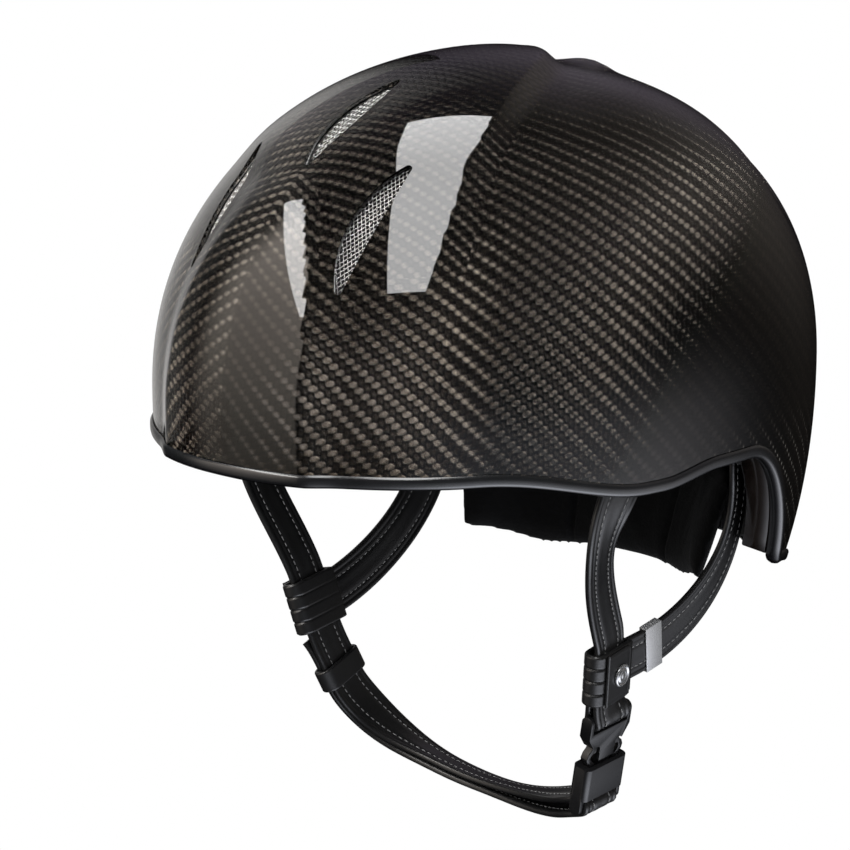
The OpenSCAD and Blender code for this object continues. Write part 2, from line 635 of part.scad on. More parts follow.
// Divider loop: a leather sleeve folded round the front strap, ribbed at its fold and flat at the back.
// Its own axes are +X outward, +Y towards the back of the head and +Z up the strap.
loop_room = layer + strap_t / 2 + slip;
loop_half_t = loop_room + loop_wall;
loop_reach = strap_w / 2 + 0.7 + loop_wall;
module sleeve_outline(half_t, reach, square_back) {
    translate([0, -reach + half_t]) circle(half_t, $fn = round_fn);
    if (square_back) translate([-half_t, -reach + half_t]) square([2 * half_t, 2 * reach - half_t]);
    else {
        translate([-half_t, -reach + half_t]) square([2 * half_t, 2 * (reach - half_t)]);
        translate([0, reach - half_t]) circle(half_t, $fn = round_fn);
    }
}
module sleeve(height, square_back) {
    room_reach = loop_reach - loop_wall;
    difference() {
        translate([0, 0, -height / 2]) linear_extrude(height)
            sleeve_outline(loop_half_t, loop_reach, square_back);
        translate([-loop_room, -room_reach, -height]) cube([2 * loop_room, 2 * room_reach, 2 * height]);
    }
}
rib_gap = 0.6;
module divider_loop() {
    color(leather) difference() {
        sleeve(loop_h, true);
        for (step = [-1, 0, 1])
            translate([-loop_half_t, -loop_reach - 1, step * loop_h / 4 - rib_gap / 2])
                cube([2 * loop_half_t, 1 + rib_gap, rib_gap]);
    }
}
module left_divider_loop() { at_left_divider() divider_loop(); }
module right_divider_loop() { at_right_divider() divider_loop(); }

// Loop flap: it turns about its rolled front edge, and a snap holds it shut
flap_x = loop_half_t + slip;
flap_front_y = -loop_reach + loop_half_t;
flap_back_y = 8.5;
snap_y = 1.5;
stud_r = snap_r / 2;
module loop_flap() {
    color(leather) difference() {
        union() {
            translate([flap_x, flap_front_y, -loop_h / 2]) cube([flap_t, flap_back_y - flap_front_y, loop_h]);
            translate([flap_x + flap_t / 2, flap_front_y, -loop_h / 2])
                cylinder(r = flap_t / 2, h = loop_h, $fn = round_fn);
        }
        translate([0, snap_y, 0]) rotate([0, 90, 0]) cylinder(r = stud_r + 0.5, h = 20, $fn = round_fn);
    }
}
module left_loop_flap() { at_left_divider() loop_flap(); }
module right_loop_flap() { at_right_divider() loop_flap(); }

// Snap: a cap on the flap over a stud on the loop
cap_t = 1.3;
module snap_cap() {
    color(steel) translate([flap_x + flap_t, snap_y, 0]) rotate([0, 90, 0]) {
        cylinder(r = snap_r, h = cap_t / 2, $fn = round_fn);
        translate([0, 0, cap_t / 2]) cylinder(r1 = snap_r, r2 = snap_r * 0.7, h = cap_t / 2, $fn = round_fn);
    }
}
module snap_stud() {
    color(steel) translate([loop_half_t, snap_y, 0]) rotate([0, 90, 0])
        cylinder(r = stud_r, h = flap_t, $fn = round_fn);
}
module left_snap_cap() { at_left_divider() snap_cap(); }
module right_snap_cap() { at_right_divider() snap_cap(); }
module left_snap_stud() { at_left_divider() snap_stud(); }
module right_snap_stud() { at_right_divider() snap_stud(); }

// Blank metal clip folded round the left rear strap
clip_w = 9;
clip_t = 0.8;
clip_room = 0.5;
clip_at = 12;
module tag_clip() {
    route = rear_route(left_divider, left_lean, left_sag);
    outs = rear_outs(left_lean);
    p = mix(route[clip_at], route[clip_at + 1], 0.4);
    along = unit(route[clip_at + 1] - route[clip_at]);
    across = unit(cross(outs[clip_at], along));
    out = cross(along, across);
    room = [clip_w + 1, strap_w + 2 * clip_room, strap_t + 2 * clip_room];
    body = [clip_w, room.y + 2 * clip_t, room.z + 2 * clip_t];
    color(steel) multmatrix([for (i = [0:2]) [along[i], across[i], out[i], p[i]]]) difference() {
        cube(body, center = true);
        cube(room, center = true);
    }
}

// Side release buckle. Its own axes are +X outward, +Y towards the back of the head and +Z up,
// from the middle of the socket's mouth.
buckle_half_w = strap_w / 2 + 0.6 + buckle_wall;
plug_half_t = buckle_t / 2 - 1.6;
mouth_half_w = 8.4;
cavity_half_w = mouth_half_w + 0.5;
cavity_half_t = buckle_t / 2 - 2.2;
prong_half_t = cavity_half_t - slip;
mouth_h = 3;
barb_h = 5;
tongue_half_w = 3;
pivot_y = 6.2;
pivot_r = 1.6;
prong_tip_z = -mouth_h - barb_h - 2;
plug_body_z = plug_bar_z - wrap_r - strap_t / 2 - slip;
// Turns an outline drawn as [across, up] into a plate of the buckle
module buckle_plate(half_t) {
    rotate([90, 0, 90]) translate([0, 0, -half_t]) linear_extrude(2 * half_t) children();
}
module bar(z) {
    translate([0, buckle_half_w, z]) rotate([90, 0, 0]) cylinder(r = bar_r, h = 2 * buckle_half_w, $fn = round_fn);
}
// Two legs that carry a bar, rounded over it
module bar_legs(from_z, to_z) {
    for (side = [0, 1]) mirror([0, side, 0]) {
        translate([-plug_half_t, buckle_half_w - buckle_wall, min(from_z, to_z)])
            cube([2 * plug_half_t, buckle_wall, abs(to_z - from_z)]);
        translate([0, buckle_half_w, to_z]) rotate([90, 0, 0])
            cylinder(r = plug_half_t, h = buckle_wall, $fn = round_fn);
    }
}
module buckle_plug() {
    low_z = pivot_z - 1.5;
    color(plastic) at_buckle() {
        difference() {
            buckle_plate(plug_half_t) polygon([[-buckle_half_w, plug_body_z], [-buckle_half_w, plug_body_z - 2],
                [-8.2, low_z + 3], [-4.2, low_z], [-4.2, 2], [4.2, 2], [4.2, low_z], [8.2, low_z + 3],
                [buckle_half_w, plug_body_z - 2], [buckle_half_w, plug_body_z]]);
            for (side = [-1, 1]) translate([0, side * pivot_y, pivot_z]) rotate([0, 90, 0])
                cylinder(r = pivot_r + slip, h = buckle_t, center = true, $fn = round_fn);
        }
        translate([-prong_half_t, -tongue_half_w, prong_tip_z + 1])
            cube([2 * prong_half_t, 2 * tongue_half_w, 3 - prong_tip_z]);
        bar_legs(plug_body_z - 1, plug_bar_z);
        bar(plug_bar_z);
    }
}

// Prong: it hinges at the plug, bows out above the socket and holds behind the mouth with a shallow barb
module prong() {
    reach = mouth_half_w - slip;
    color(plastic) {
        buckle_plate(prong_half_t) translate([pivot_y, pivot_z]) circle(pivot_r, $fn = round_fn);
        buckle_plate(prong_half_t) polygon([[pivot_y, pivot_z - pivot_r / 2], [pivot_y, pivot_z],
            [pivot_y + 1.3, pivot_z + 0.6], [pivot_y + 3.2, pivot_z - 1.2], [pivot_y + 4, pivot_z - 3.2],
            [pivot_y + 3.5, pivot_z - 5], [reach, 0.6], [reach, -mouth_h],
            [reach + barb_slope * barb_h, -mouth_h - barb_h], [reach - 1, prong_tip_z],
            [reach - 2.5, prong_tip_z], [reach - 2.9, -4], [reach - 2.9, 0.6],
            [pivot_y + 1, pivot_z - 4.6], [pivot_y + 1.8, pivot_z - 3.2], [pivot_y + 1.2, pivot_z - 2]]);
    }
}
module front_prong() { at_buckle() mirror([0, 1, 0]) prong(); }
module rear_prong() { at_buckle() prong(); }

module buckle_socket() {
    corner = 2.5;
    long = socket_h - 3;
    color(plastic) at_buckle() {
        difference() {
            translate([0, 0, -socket_h]) linear_extrude(socket_h) rounded_plate(buckle_t / 2, buckle_half_w, corner);
            translate([-cavity_half_t, -mouth_half_w, -mouth_h]) cube([2 * cavity_half_t, 2 * mouth_half_w, 20]);
            translate([-cavity_half_t, -cavity_half_w, -long])
                cube([2 * cavity_half_t, 2 * cavity_half_w, long - mouth_h]);
        }
        bar_legs(1 - socket_h, socket_bar_z);
        bar(socket_bar_z);
    }
}
module rounded_plate(half_x, half_y, corner) {
    square([2 * (half_x - corner), 2 * half_y], center = true);
    square([2 * half_x, 2 * (half_y - corner)], center = true);
    for (x = [-1, 1]) for (y = [-1, 1])
        translate([x * (half_x - corner), y * (half_y - corner)]) circle(corner, $fn = round_fn);
}

// Chin strap: it runs down from the keeper, under the chin, round the socket's bar and back again,
// and its free end shows above the keeper.
function flip(v) = [-v.x, v.y, v.z];
chin_up = flip(lean_axis(keeper_lean, 1));
chin_out = flip(lean_out(keeper_lean));
chin_start = flip(keeper_at);
chin_lead = chin_start - chin_up * 8;
bar_at = buckle_point(0, socket_bar_z);
arrive = lean_out(buckle_lean) * cos(30) + lean_axis(buckle_lean, sin(30));
chin_end = bar_at - arrive * 6;
chin_steps = 13;
chin_mid = concat([chin_start],
    [for (i = [0:chin_steps]) bezier(chin_lead, chin_lead - chin_up * 42 + [0, 12, 0],
        chin_end - arrive * 38 + [0, 12, -6], chin_end, i / chin_steps)],
    [bar_at]);
chin_last = len(chin_mid) - 1;
function chin_along(i) = unit(chin_mid[min(i + 1, chin_last)] - chin_mid[max(i - 1, 0)]);
// Under the chin the strap twists so that its front edge rides a little high
under_chin = [0, 0.97, -0.24];
function chin_face(i) =
    let (share = clamp((i - 1) / (chin_last - 2)),
        across = mix(mix(flip(lean_across(keeper_lean)), under_chin, smooth(share / 0.4)),
            lean_across(buckle_lean), smooth((share - 0.6) / 0.4)))
    unit(cross(across, chin_along(i)));
function chin_gap(i) = mix(layer, wrap_r, smooth((i - 0.55 * chin_last) / (0.35 * chin_last)));
module chin_strap() {
    going = [for (i = [0:chin_last]) chin_mid[i] - chin_face(i) * chin_gap(i)];
    coming = [for (i = [chin_last:-1:0]) chin_mid[i] + chin_face(i) * chin_gap(i)];
    face = chin_face(chin_last);
    turns = [for (a = [30:30:150]) arrive * sin(a) - face * cos(a)];
    tab = [for (s = [[9, 0], [14, 0.6], [17, 1.6]]) chin_start + chin_up * s.x + chin_out * (layer + s.y)];
    route = concat(going, [for (t = turns) bar_at + t * wrap_r], coming, tab);
    outs = concat([for (i = [0:chin_last]) -chin_face(i)], turns,
        [for (i = [chin_last:-1:0]) chin_face(i)], [for (s = tab) chin_out]);
    color(leather) ribbon(route, outs);
}

module strap_keeper() {
    color(leather) at_keeper() sleeve(keeper_h, false);
}

module seated() { translate([0, 0, -seat_z]) children(); }

seated() outer_shell();
seated() edge_trim();
seated() inner_edge_band();
seated() impact_liner();
seated() crown_liner();
seated() centre_vent_mesh();
seated() left_vent_mesh();
seated() right_vent_mesh();
seated() crown_pad();
seated() headband_pad();
seated() neck_pad();
seated() strap_anchor_plates();
seated() strap_rivets();
seated() left_front_strap();
seated() right_front_strap();
seated() left_rear_strap();
seated() right_rear_strap();
seated() left_divider_loop();
seated() right_divider_loop();
seated() left_loop_flap();
seated() right_loop_flap();
seated() left_snap_cap();
seated() right_snap_cap();
seated() left_snap_stud();
seated() right_snap_stud();
seated() tag_clip();
seated() buckle_plug();
seated() buckle_socket();
seated() front_prong();
seated() rear_prong();
seated() chin_strap();
seated() strap_keeper();
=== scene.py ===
"""Jockey helmet: finishes, soft pieces and a plain studio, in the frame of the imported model.

+Z is up, the front faces -Y and +X is the wearer's left. Shapes are laid out in millimetres from the
rim datum, as in the frame's own source, and seated() lowers them into the frame in metres."""
import math
import bmesh
import bpy
import numpy as np
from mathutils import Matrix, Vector
from mathutils.geometry import delaunay_2d_cdt


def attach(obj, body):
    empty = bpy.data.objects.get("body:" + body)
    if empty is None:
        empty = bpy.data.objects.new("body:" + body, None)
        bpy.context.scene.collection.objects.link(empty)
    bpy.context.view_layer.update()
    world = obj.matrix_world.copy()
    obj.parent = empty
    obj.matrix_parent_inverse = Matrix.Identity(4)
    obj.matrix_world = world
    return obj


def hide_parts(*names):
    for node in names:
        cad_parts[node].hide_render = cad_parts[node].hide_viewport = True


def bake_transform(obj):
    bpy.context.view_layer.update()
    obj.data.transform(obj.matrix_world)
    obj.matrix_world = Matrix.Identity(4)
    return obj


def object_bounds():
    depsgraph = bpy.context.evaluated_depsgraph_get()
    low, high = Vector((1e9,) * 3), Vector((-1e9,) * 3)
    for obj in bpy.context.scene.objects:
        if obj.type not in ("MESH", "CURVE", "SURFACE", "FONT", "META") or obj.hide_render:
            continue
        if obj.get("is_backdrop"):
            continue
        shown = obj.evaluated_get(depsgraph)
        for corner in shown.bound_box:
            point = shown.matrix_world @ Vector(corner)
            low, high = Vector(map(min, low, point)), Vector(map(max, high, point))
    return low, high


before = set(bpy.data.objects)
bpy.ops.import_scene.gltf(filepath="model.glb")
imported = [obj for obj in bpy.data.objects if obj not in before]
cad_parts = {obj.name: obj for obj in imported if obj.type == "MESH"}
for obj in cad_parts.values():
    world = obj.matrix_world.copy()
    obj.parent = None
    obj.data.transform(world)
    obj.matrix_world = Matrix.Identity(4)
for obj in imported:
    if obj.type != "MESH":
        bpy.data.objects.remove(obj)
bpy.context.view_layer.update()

# ---- sizes, as in the frame's source
HALF_W, FRONT_LEN, REAR_LEN = 108, 144, 136
CENTRE_Z, CROWN_RISE, SKIRT_DROP, SEAT_Z = 46, 122, 180, 136.1
PLAN_POWER, SIDE_POWER, EGG = 2.2, 2.1, 0.06
SHELL_T, SLIP, LINER_GAP, PAD_GAP = 3, 0.3, 0.4, 0.5
TRIM_T, TRIM_LIP, TRIM_GAP = 1.2, 3.2, 0.15
STRAP_W, STRAP_T, LOOP_WALL, LOOP_H, FLAP_T = 18, 2.4, 1.8, 21, 1.2
BAR_R, PLUG_BAR_Z, SOCKET_H = 1.6, 20, 14
# The rim's heights, and the angles from the brow between which it falls behind the ear
BROW_Z, TEMPLE_DIP, EAR_LIFT, CORNER_Z, NAPE_Z, EAR_START, EAR_END = 31, 11, 4, -27, -37, 103, 124
# The raised tongue, the ledge behind it and the shield under it
TONGUE_FRONT_Y, TONGUE_GROWTH, TONGUE_END_Y, TONGUE_NOSE_R, TONGUE_FLARE = -112, 127, 25, 10, 0.31
STEP_DEPTH, STEP_RUN, STEP_FADE = 5, 9, 36
LEDGE_Y, LEDGE_SWEEP, LEDGE_DEPTH, LEDGE_RUN, LEDGE_FADE, LEDGE_HALF_W = 60, 0.17, 5, 10, 18, 55
SHIELD_HALF_W, SHIELD_LOW_Z, SHIELD_TALL, SHIELD_DEPTH, SHIELD_RUN, SHIELD_FADE = 34.5, 50, 78, 2.5, 12, 40
LINER_SIDE_T, LINER_END_T, LINER_CROWN_T = 20, 28, 22
LAYER = STRAP_T / 2 + SLIP / 2
WRAP_R = BAR_R + SLIP + STRAP_T / 2
SOCKET_BAR_Z = -SOCKET_H - WRAP_R - STRAP_T / 2 - SLIP
LOOP_HALF_T = LAYER + STRAP_T / 2 + SLIP + LOOP_WALL
LOOP_REACH = STRAP_W / 2 + 0.7 + LOOP_WALL


def seated(points):
    """Millimetres from the rim datum become metres in the frame."""
    return (np.asarray(points, float) - (0, 0, SEAT_Z)) / 1000


def smooth(v):
    u = np.clip(v, 0, 1)
    return u * u * (3 - 2 * u)


def unit(v):
    v = np.asarray(v, float)
    return v / np.maximum(np.linalg.norm(v, axis=-1, keepdims=True), 1e-12)


def dots(a, b):
    return np.sum(a * b, axis=-1)


def bell(v):
    return np.exp(-v * v)


def around(count):
    """Evenly spaced angles, once round."""
    return np.linspace(0, 2 * math.pi, count, endpoint=False)


# ---- the dome and its relief
def plan_reach(phi):
    p = np.radians(phi)
    wide = HALF_W * (1 - EGG * np.cos(p))
    long = np.where(np.cos(p) > 0, FRONT_LEN, REAR_LEN)
    return ((np.abs(np.sin(p)) / wide) ** PLAN_POWER
            + (np.abs(np.cos(p)) / long) ** PLAN_POWER) ** (-1 / PLAN_POWER)


def dome(phi, tau):
    phi, tau = np.broadcast_arrays(np.asarray(phi, float), np.asarray(tau, float))
    p, t = np.radians(phi), np.radians(tau)
    reach = plan_reach(phi) * np.abs(np.cos(t)) ** (2 / SIDE_POWER)
    tall = np.where(tau > 0, CROWN_RISE, SKIRT_DROP)
    rise = np.sign(tau) * tall * np.abs(np.sin(t)) ** (2 / SIDE_POWER)
    return np.stack([np.sin(p) * reach, -np.cos(p) * reach, CENTRE_Z + rise], -1)


def tau_at(z):
    z = np.asarray(z, float)
    share = (z - CENTRE_Z) / np.where(z > CENTRE_Z, CROWN_RISE, SKIRT_DROP)
    return np.degrees(np.sign(share) * np.arcsin(np.minimum(np.abs(share), 1) ** (SIDE_POWER / 2)))


def angles_of(p):
    """The angle from the brow and the rise of points on the dome."""
    phi = np.degrees(np.arctan2(p[..., 0], -p[..., 1]))
    return phi, tau_at(p[..., 2])


def dome_normal(p):
    x, y, z = p[..., 0], p[..., 1], p[..., 2] - CENTRE_Z
    flat = np.maximum(np.hypot(x, y), 1e-9)
    wide = HALF_W * (1 + EGG * y / flat)
    long = np.where(y < 0, FRONT_LEN, REAR_LEN)
    u, v = np.abs(x) / wide, np.abs(y) / long
    plan = np.maximum(u ** PLAN_POWER + v ** PLAN_POWER, 1e-9)
    lean = plan ** (SIDE_POWER / PLAN_POWER - 1)
    tall = np.where(z > 0, CROWN_RISE, SKIRT_DROP)
    return unit(np.stack([np.sign(x) * lean * u ** (PLAN_POWER - 1) / wide,
                          np.sign(y) * lean * v ** (PLAN_POWER - 1) / long,
                          np.sign(z) * (np.abs(z) / tall) ** (SIDE_POWER - 1) / tall], -1))


def on_dome(p):
    """Moves points straight towards the middle of the head until they lie on the dome."""
    middle = np.array([0, 0, CENTRE_Z])
    q = p - middle
    phi = np.degrees(np.arctan2(q[..., 0], -q[..., 1]))
    tall = np.where(q[..., 2] > 0, CROWN_RISE, SKIRT_DROP)
    size = ((np.hypot(q[..., 0], q[..., 1]) / plan_reach(phi)) ** SIDE_POWER
            + (np.abs(q[..., 2]) / tall) ** SIDE_POWER) ** (1 / SIDE_POWER)
    return middle + q / np.maximum(size, 1e-9)[..., None]


def foot_on_dome(p):
    """The nearest dome point, its normal, and how deep each point lies under the dome."""
    q = on_dome(p)
    for _ in range(3):
        n = dome_normal(q)
        q = on_dome(p + n * dots(q - p, n)[..., None])
    n = dome_normal(q)
    return q, n, dots(q - p, n)


def off_tongue(p):
    """How far points lie outside the tongue's outline, about in millimetres."""
    x, back = p[..., 0], np.maximum(TONGUE_END_Y - p[..., 1], -60)
    return ((x * x - 2 * TONGUE_NOSE_R * back - (TONGUE_FLARE * back) ** 2)
            / np.hypot(2 * x, 2 * TONGUE_NOSE_R + 2 * TONGUE_FLARE ** 2 * back))


def off_shield(p):
    """How far points lie outside the front shield's outline, about in millimetres."""
    rise = np.maximum(0, (p[..., 2] - SHIELD_LOW_Z) / SHIELD_TALL)
    return SHIELD_HALF_W * (np.sqrt((p[..., 0] / SHIELD_HALF_W) ** 2 + rise ** 2) - 1)


def relief(p):
    """How far the shell's face lies off the dome, with the tongue left proud and the rest sunk."""
    x, y, z = p[..., 0], p[..., 1], p[..., 2]

    def sunk(off, depth, run, fade, roundness):
        t = np.clip(off / run, 0, 1)
        step = (1 - roundness) * smooth(t) + roundness * t * (2 - t)
        return depth * step * (1 - smooth((off - run) / fade))
    tongue = sunk(off_tongue(p), STEP_DEPTH, STEP_RUN, STEP_FADE, 0.5)
    tongue = tongue * smooth((y - TONGUE_FRONT_Y) / TONGUE_GROWTH)
    ledge = sunk(y - LEDGE_Y - LEDGE_SWEEP * np.abs(x), LEDGE_DEPTH, LEDGE_RUN, LEDGE_FADE, 0)
    ledge = ledge * (1 - smooth((np.abs(x) - LEDGE_HALF_W) / 30))
    shield = sunk(off_shield(p), SHIELD_DEPTH, SHIELD_RUN, SHIELD_FADE, 0.6)
    shield = shield * smooth((-y - 50) / 35) * (1 - smooth((z - 128) / 16))
    return -tongue - ledge - shield


def skin(p):
    """Dome points moved on to the shell's face."""
    return p + dome_normal(p) * relief(p)[..., None]


def skin_normal(p):
    """The way that the shell's face looks over dome points, relief included."""
    n = dome_normal(p)
    side = unit(np.cross(n, np.where(np.abs(n[..., 2:]) > 0.9, (1.0, 0, 0), (0, 0, 1.0))))
    up = np.cross(n, side)
    e = 0.25
    across = skin(on_dome(p + side * e)) - skin(on_dome(p - side * e))
    along = skin(on_dome(p + up * e)) - skin(on_dome(p - up * e))
    return unit(np.cross(across, along))


def under(phi, tau, depth):
    b = dome(phi, tau)
    return b - dome_normal(b) * np.asarray(depth, float)[..., None]


def rim_z(phi):
    a = np.abs((np.asarray(phi, float) + 180) % 360 - 180)
    upper = BROW_Z - TEMPLE_DIP * smooth((a - 40) / 34) + EAR_LIFT * smooth((a - 78) / 16)
    fall = np.clip((a - EAR_START) / (EAR_END - EAR_START), 0, 1) ** 2.2
    lower = CORNER_Z + (NAPE_Z - CORNER_Z) * smooth((a - EAR_END) / 24)
    return upper + (lower - upper) * fall


def rim_frames(phi):
    """Points along the rim's outer edge, with the ways outward and up into the wall."""
    def rim(a):
        return skin(dome(a, tau_at(rim_z(a))))
    n = dome_normal(dome(phi, tau_at(rim_z(phi))))
    return rim(phi), n, unit(np.cross(n, rim(phi + 0.5) - rim(phi - 0.5)))


def liner_depth(phi, tau):
    low = np.cos(np.radians(tau)) ** 2
    ends = np.cos(np.radians(phi)) ** 2
    side = LINER_SIDE_T + (LINER_END_T - LINER_SIDE_T) * ends
    return SHELL_T + LINER_GAP + LINER_CROWN_T + (side - LINER_CROWN_T) * low


def on_liner(phi, z, depth):
    tau = tau_at(z)
    return under(phi, tau, liner_depth(phi, tau) + PAD_GAP + depth)


# ---- node trees
def operator_of(operation, swapped=False):
    """A Python operator on wires that adds a Math node."""
    def apply(self, other):
        return self.bench.math(operation, *((other, self) if swapped else (self, other)))
    return apply


class Wire:
    """A socket of a node tree that takes part in Python sums."""

    def __init__(self, bench, socket):
        self.bench, self.socket = bench, socket

    __add__ = __radd__ = operator_of("ADD")
    __sub__, __rsub__ = operator_of("SUBTRACT"), operator_of("SUBTRACT", True)
    __mul__ = __rmul__ = operator_of("MULTIPLY")
    __pow__, __gt__ = operator_of("POWER"), operator_of("GREATER_THAN")


class Bench:
    """A node tree that is being built."""

    def __init__(self, tree):
        self.tree = tree

    def plug(self, socket, value):
        if isinstance(value, Wire):
            self.tree.links.new(value.socket, socket)
        elif isinstance(value, (tuple, list)) and socket.type == "RGBA" and len(value) == 3:
            socket.default_value = (*value, 1)
        else:
            socket.default_value = value

    def node(self, kind, settings=None, sockets=None, out=0):
        made = self.tree.nodes.new(kind)
        for key, value in (settings or {}).items():
            setattr(made, key, value)
        for key, value in (sockets or {}).items():
            self.plug(made.inputs[key], value)
        return Wire(self, made.outputs[out]) if len(made.outputs) else made

    def math(self, operation, *values, clamp=False):
        return self.node("ShaderNodeMath", {"operation": operation, "use_clamp": clamp},
                         dict(enumerate(values)))

    def clamped(self, value, over):
        """A share from 0 to 1 of a value over a range."""
        return self.math("DIVIDE", value, over, clamp=True)

    def tone(self, share, low, high):
        """Mixes two colours."""
        return self.node("ShaderNodeMix", {"data_type": "RGBA"}, {0: share, 6: low, 7: high}, 2)

    def mixed(self, share, first, second):
        """Mixes two shaders."""
        return self.node("ShaderNodeMixShader", None, {0: share, 1: first, 2: second})

    def parts(self, vector):
        made = self.node("ShaderNodeSeparateXYZ", None, {0: vector}).socket.node
        return [Wire(self, s) for s in made.outputs]

    def vector(self, x, y, z=0.0):
        return self.node("ShaderNodeCombineXYZ", None, {0: x, 1: y, 2: z})

    def vector_math(self, operation, sockets, out=0):
        return self.node("ShaderNodeVectorMath", {"operation": operation}, sockets, out)

    def place(self):
        """A point's place on its own piece, in metres."""
        return self.node("ShaderNodeTexCoord", out="Object")

    def noise(self, where, size, detail=2.0, rough=0.5):
        """Noise whose patches are about that many metres across."""
        return self.node("ShaderNodeTexNoise", None,
                         {"Vector": where, "Scale": 1 / size, "Detail": detail, "Roughness": rough})

    def cells(self, where, size):
        """Distance from the middle of cells that are about that many metres across."""
        return self.node("ShaderNodeTexVoronoi", None, {"Vector": where, "Scale": 1 / size}, "Distance")

    def lobe(self, way, turn, rise, sharp, tone):
        """A soft glow round one direction, turned from the brow and raised, in degrees."""
        t, r = math.radians(turn), math.radians(rise)
        axis = (math.sin(t) * math.cos(r), -math.cos(t) * math.cos(r), math.sin(r))
        near = self.vector_math("DOT_PRODUCT", {0: way, 1: axis}, "Value")
        return self.vector_math("SCALE", {0: tone, "Scale": self.math("EXPONENT", (near - 1) * sharp)})

    def bump(self, height, depth, strength):
        return self.node("ShaderNodeBump", None, {"Height": height, "Distance": depth, "Strength": strength})


def cleared(owner):
    """The bench of a material or world whose nodes are made afresh."""
    owner.use_nodes = True
    owner.node_tree.nodes.clear()
    return Bench(owner.node_tree)


def surfaced(name, surface):
    """A material whose surface function builds its shader on a bench."""
    material = bpy.data.materials.new(name)
    bench = cleared(material)
    bench.node("ShaderNodeOutputMaterial", None, {"Surface": surface(bench)})
    return material


def finish_of(name, paint):
    """A material whose paint function returns the shader's sockets."""
    return surfaced(name, lambda b: b.node("ShaderNodeBsdfPrincipled", None, paint(b)))


# A tow's fibres across its width, how far they slant over one crossing, and how round its back is
FIBRES, FIBRE_SKEW, TOW_ROUND = 9, 5.2, 1.1
# The cloth's waves: their length in tows, and how far they push each way's tows aside
WAVE, WAVE_U, WAVE_V, SWING = 9.0, 0.5, 0.4, 0.13
# Where pale specks are painted on the tow ends as painted glints, in metres: behind a plane, below a height, and
# over which lengths that fades in
PAINTED_GLINT_Y, PAINTED_GLINT_Y_RUN, PAINTED_GLINT_Z, PAINTED_GLINT_Z_RUN = -0.015, 0.03, -0.097, 0.022


def twill_carbon(b):
    """2x2 twill under a thick clear coat, its tows painted with highlight and shade, and pale painted glints on
    the tow ends of the lower rear. Cloth coordinates count tows.
    """
    side, top = (b.parts(b.node("ShaderNodeAttribute", {"attribute_name": cloth}, out="Vector"))
                 for cloth in ("side_cloth", "top_cloth"))
    on_top = top[2] > 0
    u = side[0] + (top[0] - side[0]) * on_top
    v = side[1] + (top[1] - side[1]) * on_top
    wave = b.noise(b.vector(u, v), WAVE, 1.0)
    u, v = u + wave * WAVE_U, v - wave * WAVE_V
    quarter = math.pi / 2
    swing = b.math("COSINE", (u - v - 1.5) * quarter) * SWING
    u, v = u - swing, v - swing
    tow_u, tow_v = b.math("FLOOR", u), b.math("FLOOR", v)
    in_u, in_v = b.math("FRACT", u), b.math("FRACT", v)
    warp_run, weft_run = v - tow_u, u - tow_v - 3
    warp_crown, weft_crown = in_u * (1 - in_u) * 4, in_v * (1 - in_v) * 4
    warp_arch, weft_arch = b.math("COSINE", warp_run * quarter), b.math("COSINE", weft_run * quarter)
    warp = (warp_arch + warp_crown * TOW_ROUND) > (weft_arch + weft_crown * TOW_ROUND)
    crown = weft_crown + (warp_crown - weft_crown) * warp
    arch = b.math("MAXIMUM", weft_arch + (warp_arch - weft_arch) * warp, 0.0)
    across = in_v + (in_u - in_v) * warp
    along = weft_run + (warp_run - weft_run) * warp
    fibre = b.math("SINE", (across * FIBRES + along * FIBRE_SKEW) * 2 * math.pi)
    tow = b.vector(tow_u + 0.5, tow_v + 0.5, warp)
    own = b.node("ShaderNodeTexWhiteNoise", {"noise_dimensions": "3D"}, {"Vector": tow}, "Value")
    strands = b.noise(b.vector(across * 14, along * 0.4, tow_u * 3.7 + tow_v * 1.9), 1.0, 2.0, 0.6)
    # Random tone per tow and per strand, with painted shade and highlight: warp tows much darker than weft tows,
    # and each tow bright in its middle and dark at its edges and ends
    tow_tone_and_shade = (own * 0.35 + 0.75) * (strands * 0.6 + 0.65) * (1 - warp * 0.86)
    tow_tone_and_shade = tow_tone_and_shade * (crown ** 0.5 * 0.97 + 0.03) * (arch ** 0.7 * 0.97 + 0.03)
    _, back, up = b.parts(b.place())
    behind = b.clamped(back - PAINTED_GLINT_Y, PAINTED_GLINT_Y_RUN) * b.clamped(PAINTED_GLINT_Z - up, PAINTED_GLINT_Z_RUN)
    end = b.math("SINE", along * quarter) - 0.5
    # Painted glints: pale specks, not metal, painted on the tow ends of the lower rear
    painted_glint = b.math("MAXIMUM", 1 - end * end * 6, 0.0) * crown ** 2 * arch * behind * (1 - warp)
    gold_or_painted_glint = b.tone(painted_glint, (0.105, 0.092, 0.077), (0.5, 0.48, 0.44))
    colour = b.tone(b.math("MINIMUM", tow_tone_and_shade + painted_glint, 1.0), (0.001, 0.001, 0.0012), gold_or_painted_glint)
    return {"Base Color": colour, "Metallic": 1 - painted_glint, "Roughness": strands * 0.05 + 0.055,
            "Coat Weight": 1.0, "Coat Roughness": 0.012, "Coat IOR": 1.55,
            "Normal": b.bump(crown * 0.1 + arch * 0.03 + fibre * 0.036, 0.001, 1.0)}


def trim_rubber(b):
    where = b.place()
    return {"Base Color": b.tone(b.noise(where, 0.012), (0.010, 0.010, 0.011), (0.020, 0.020, 0.022)),
            "Roughness": b.noise(where, 0.004, 4.0) * 0.1 + 0.17, "Specular IOR Level": 0.8,
            "Normal": b.bump(b.noise(where, 0.0006, 3.0), 0.00004, 0.5)}


def gloss_band(b):
    where = b.place()
    return {"Base Color": b.tone(b.noise(where, 0.02), (0.016, 0.011, 0.009), (0.034, 0.024, 0.020)),
            "Roughness": b.noise(where, 0.006, 3.0) * 0.12 + 0.14, "Coat Weight": 0.6,
            "Coat Roughness": 0.06, "Normal": b.bump(b.noise(where, 0.009, 2.0), 0.0003, 0.35)}


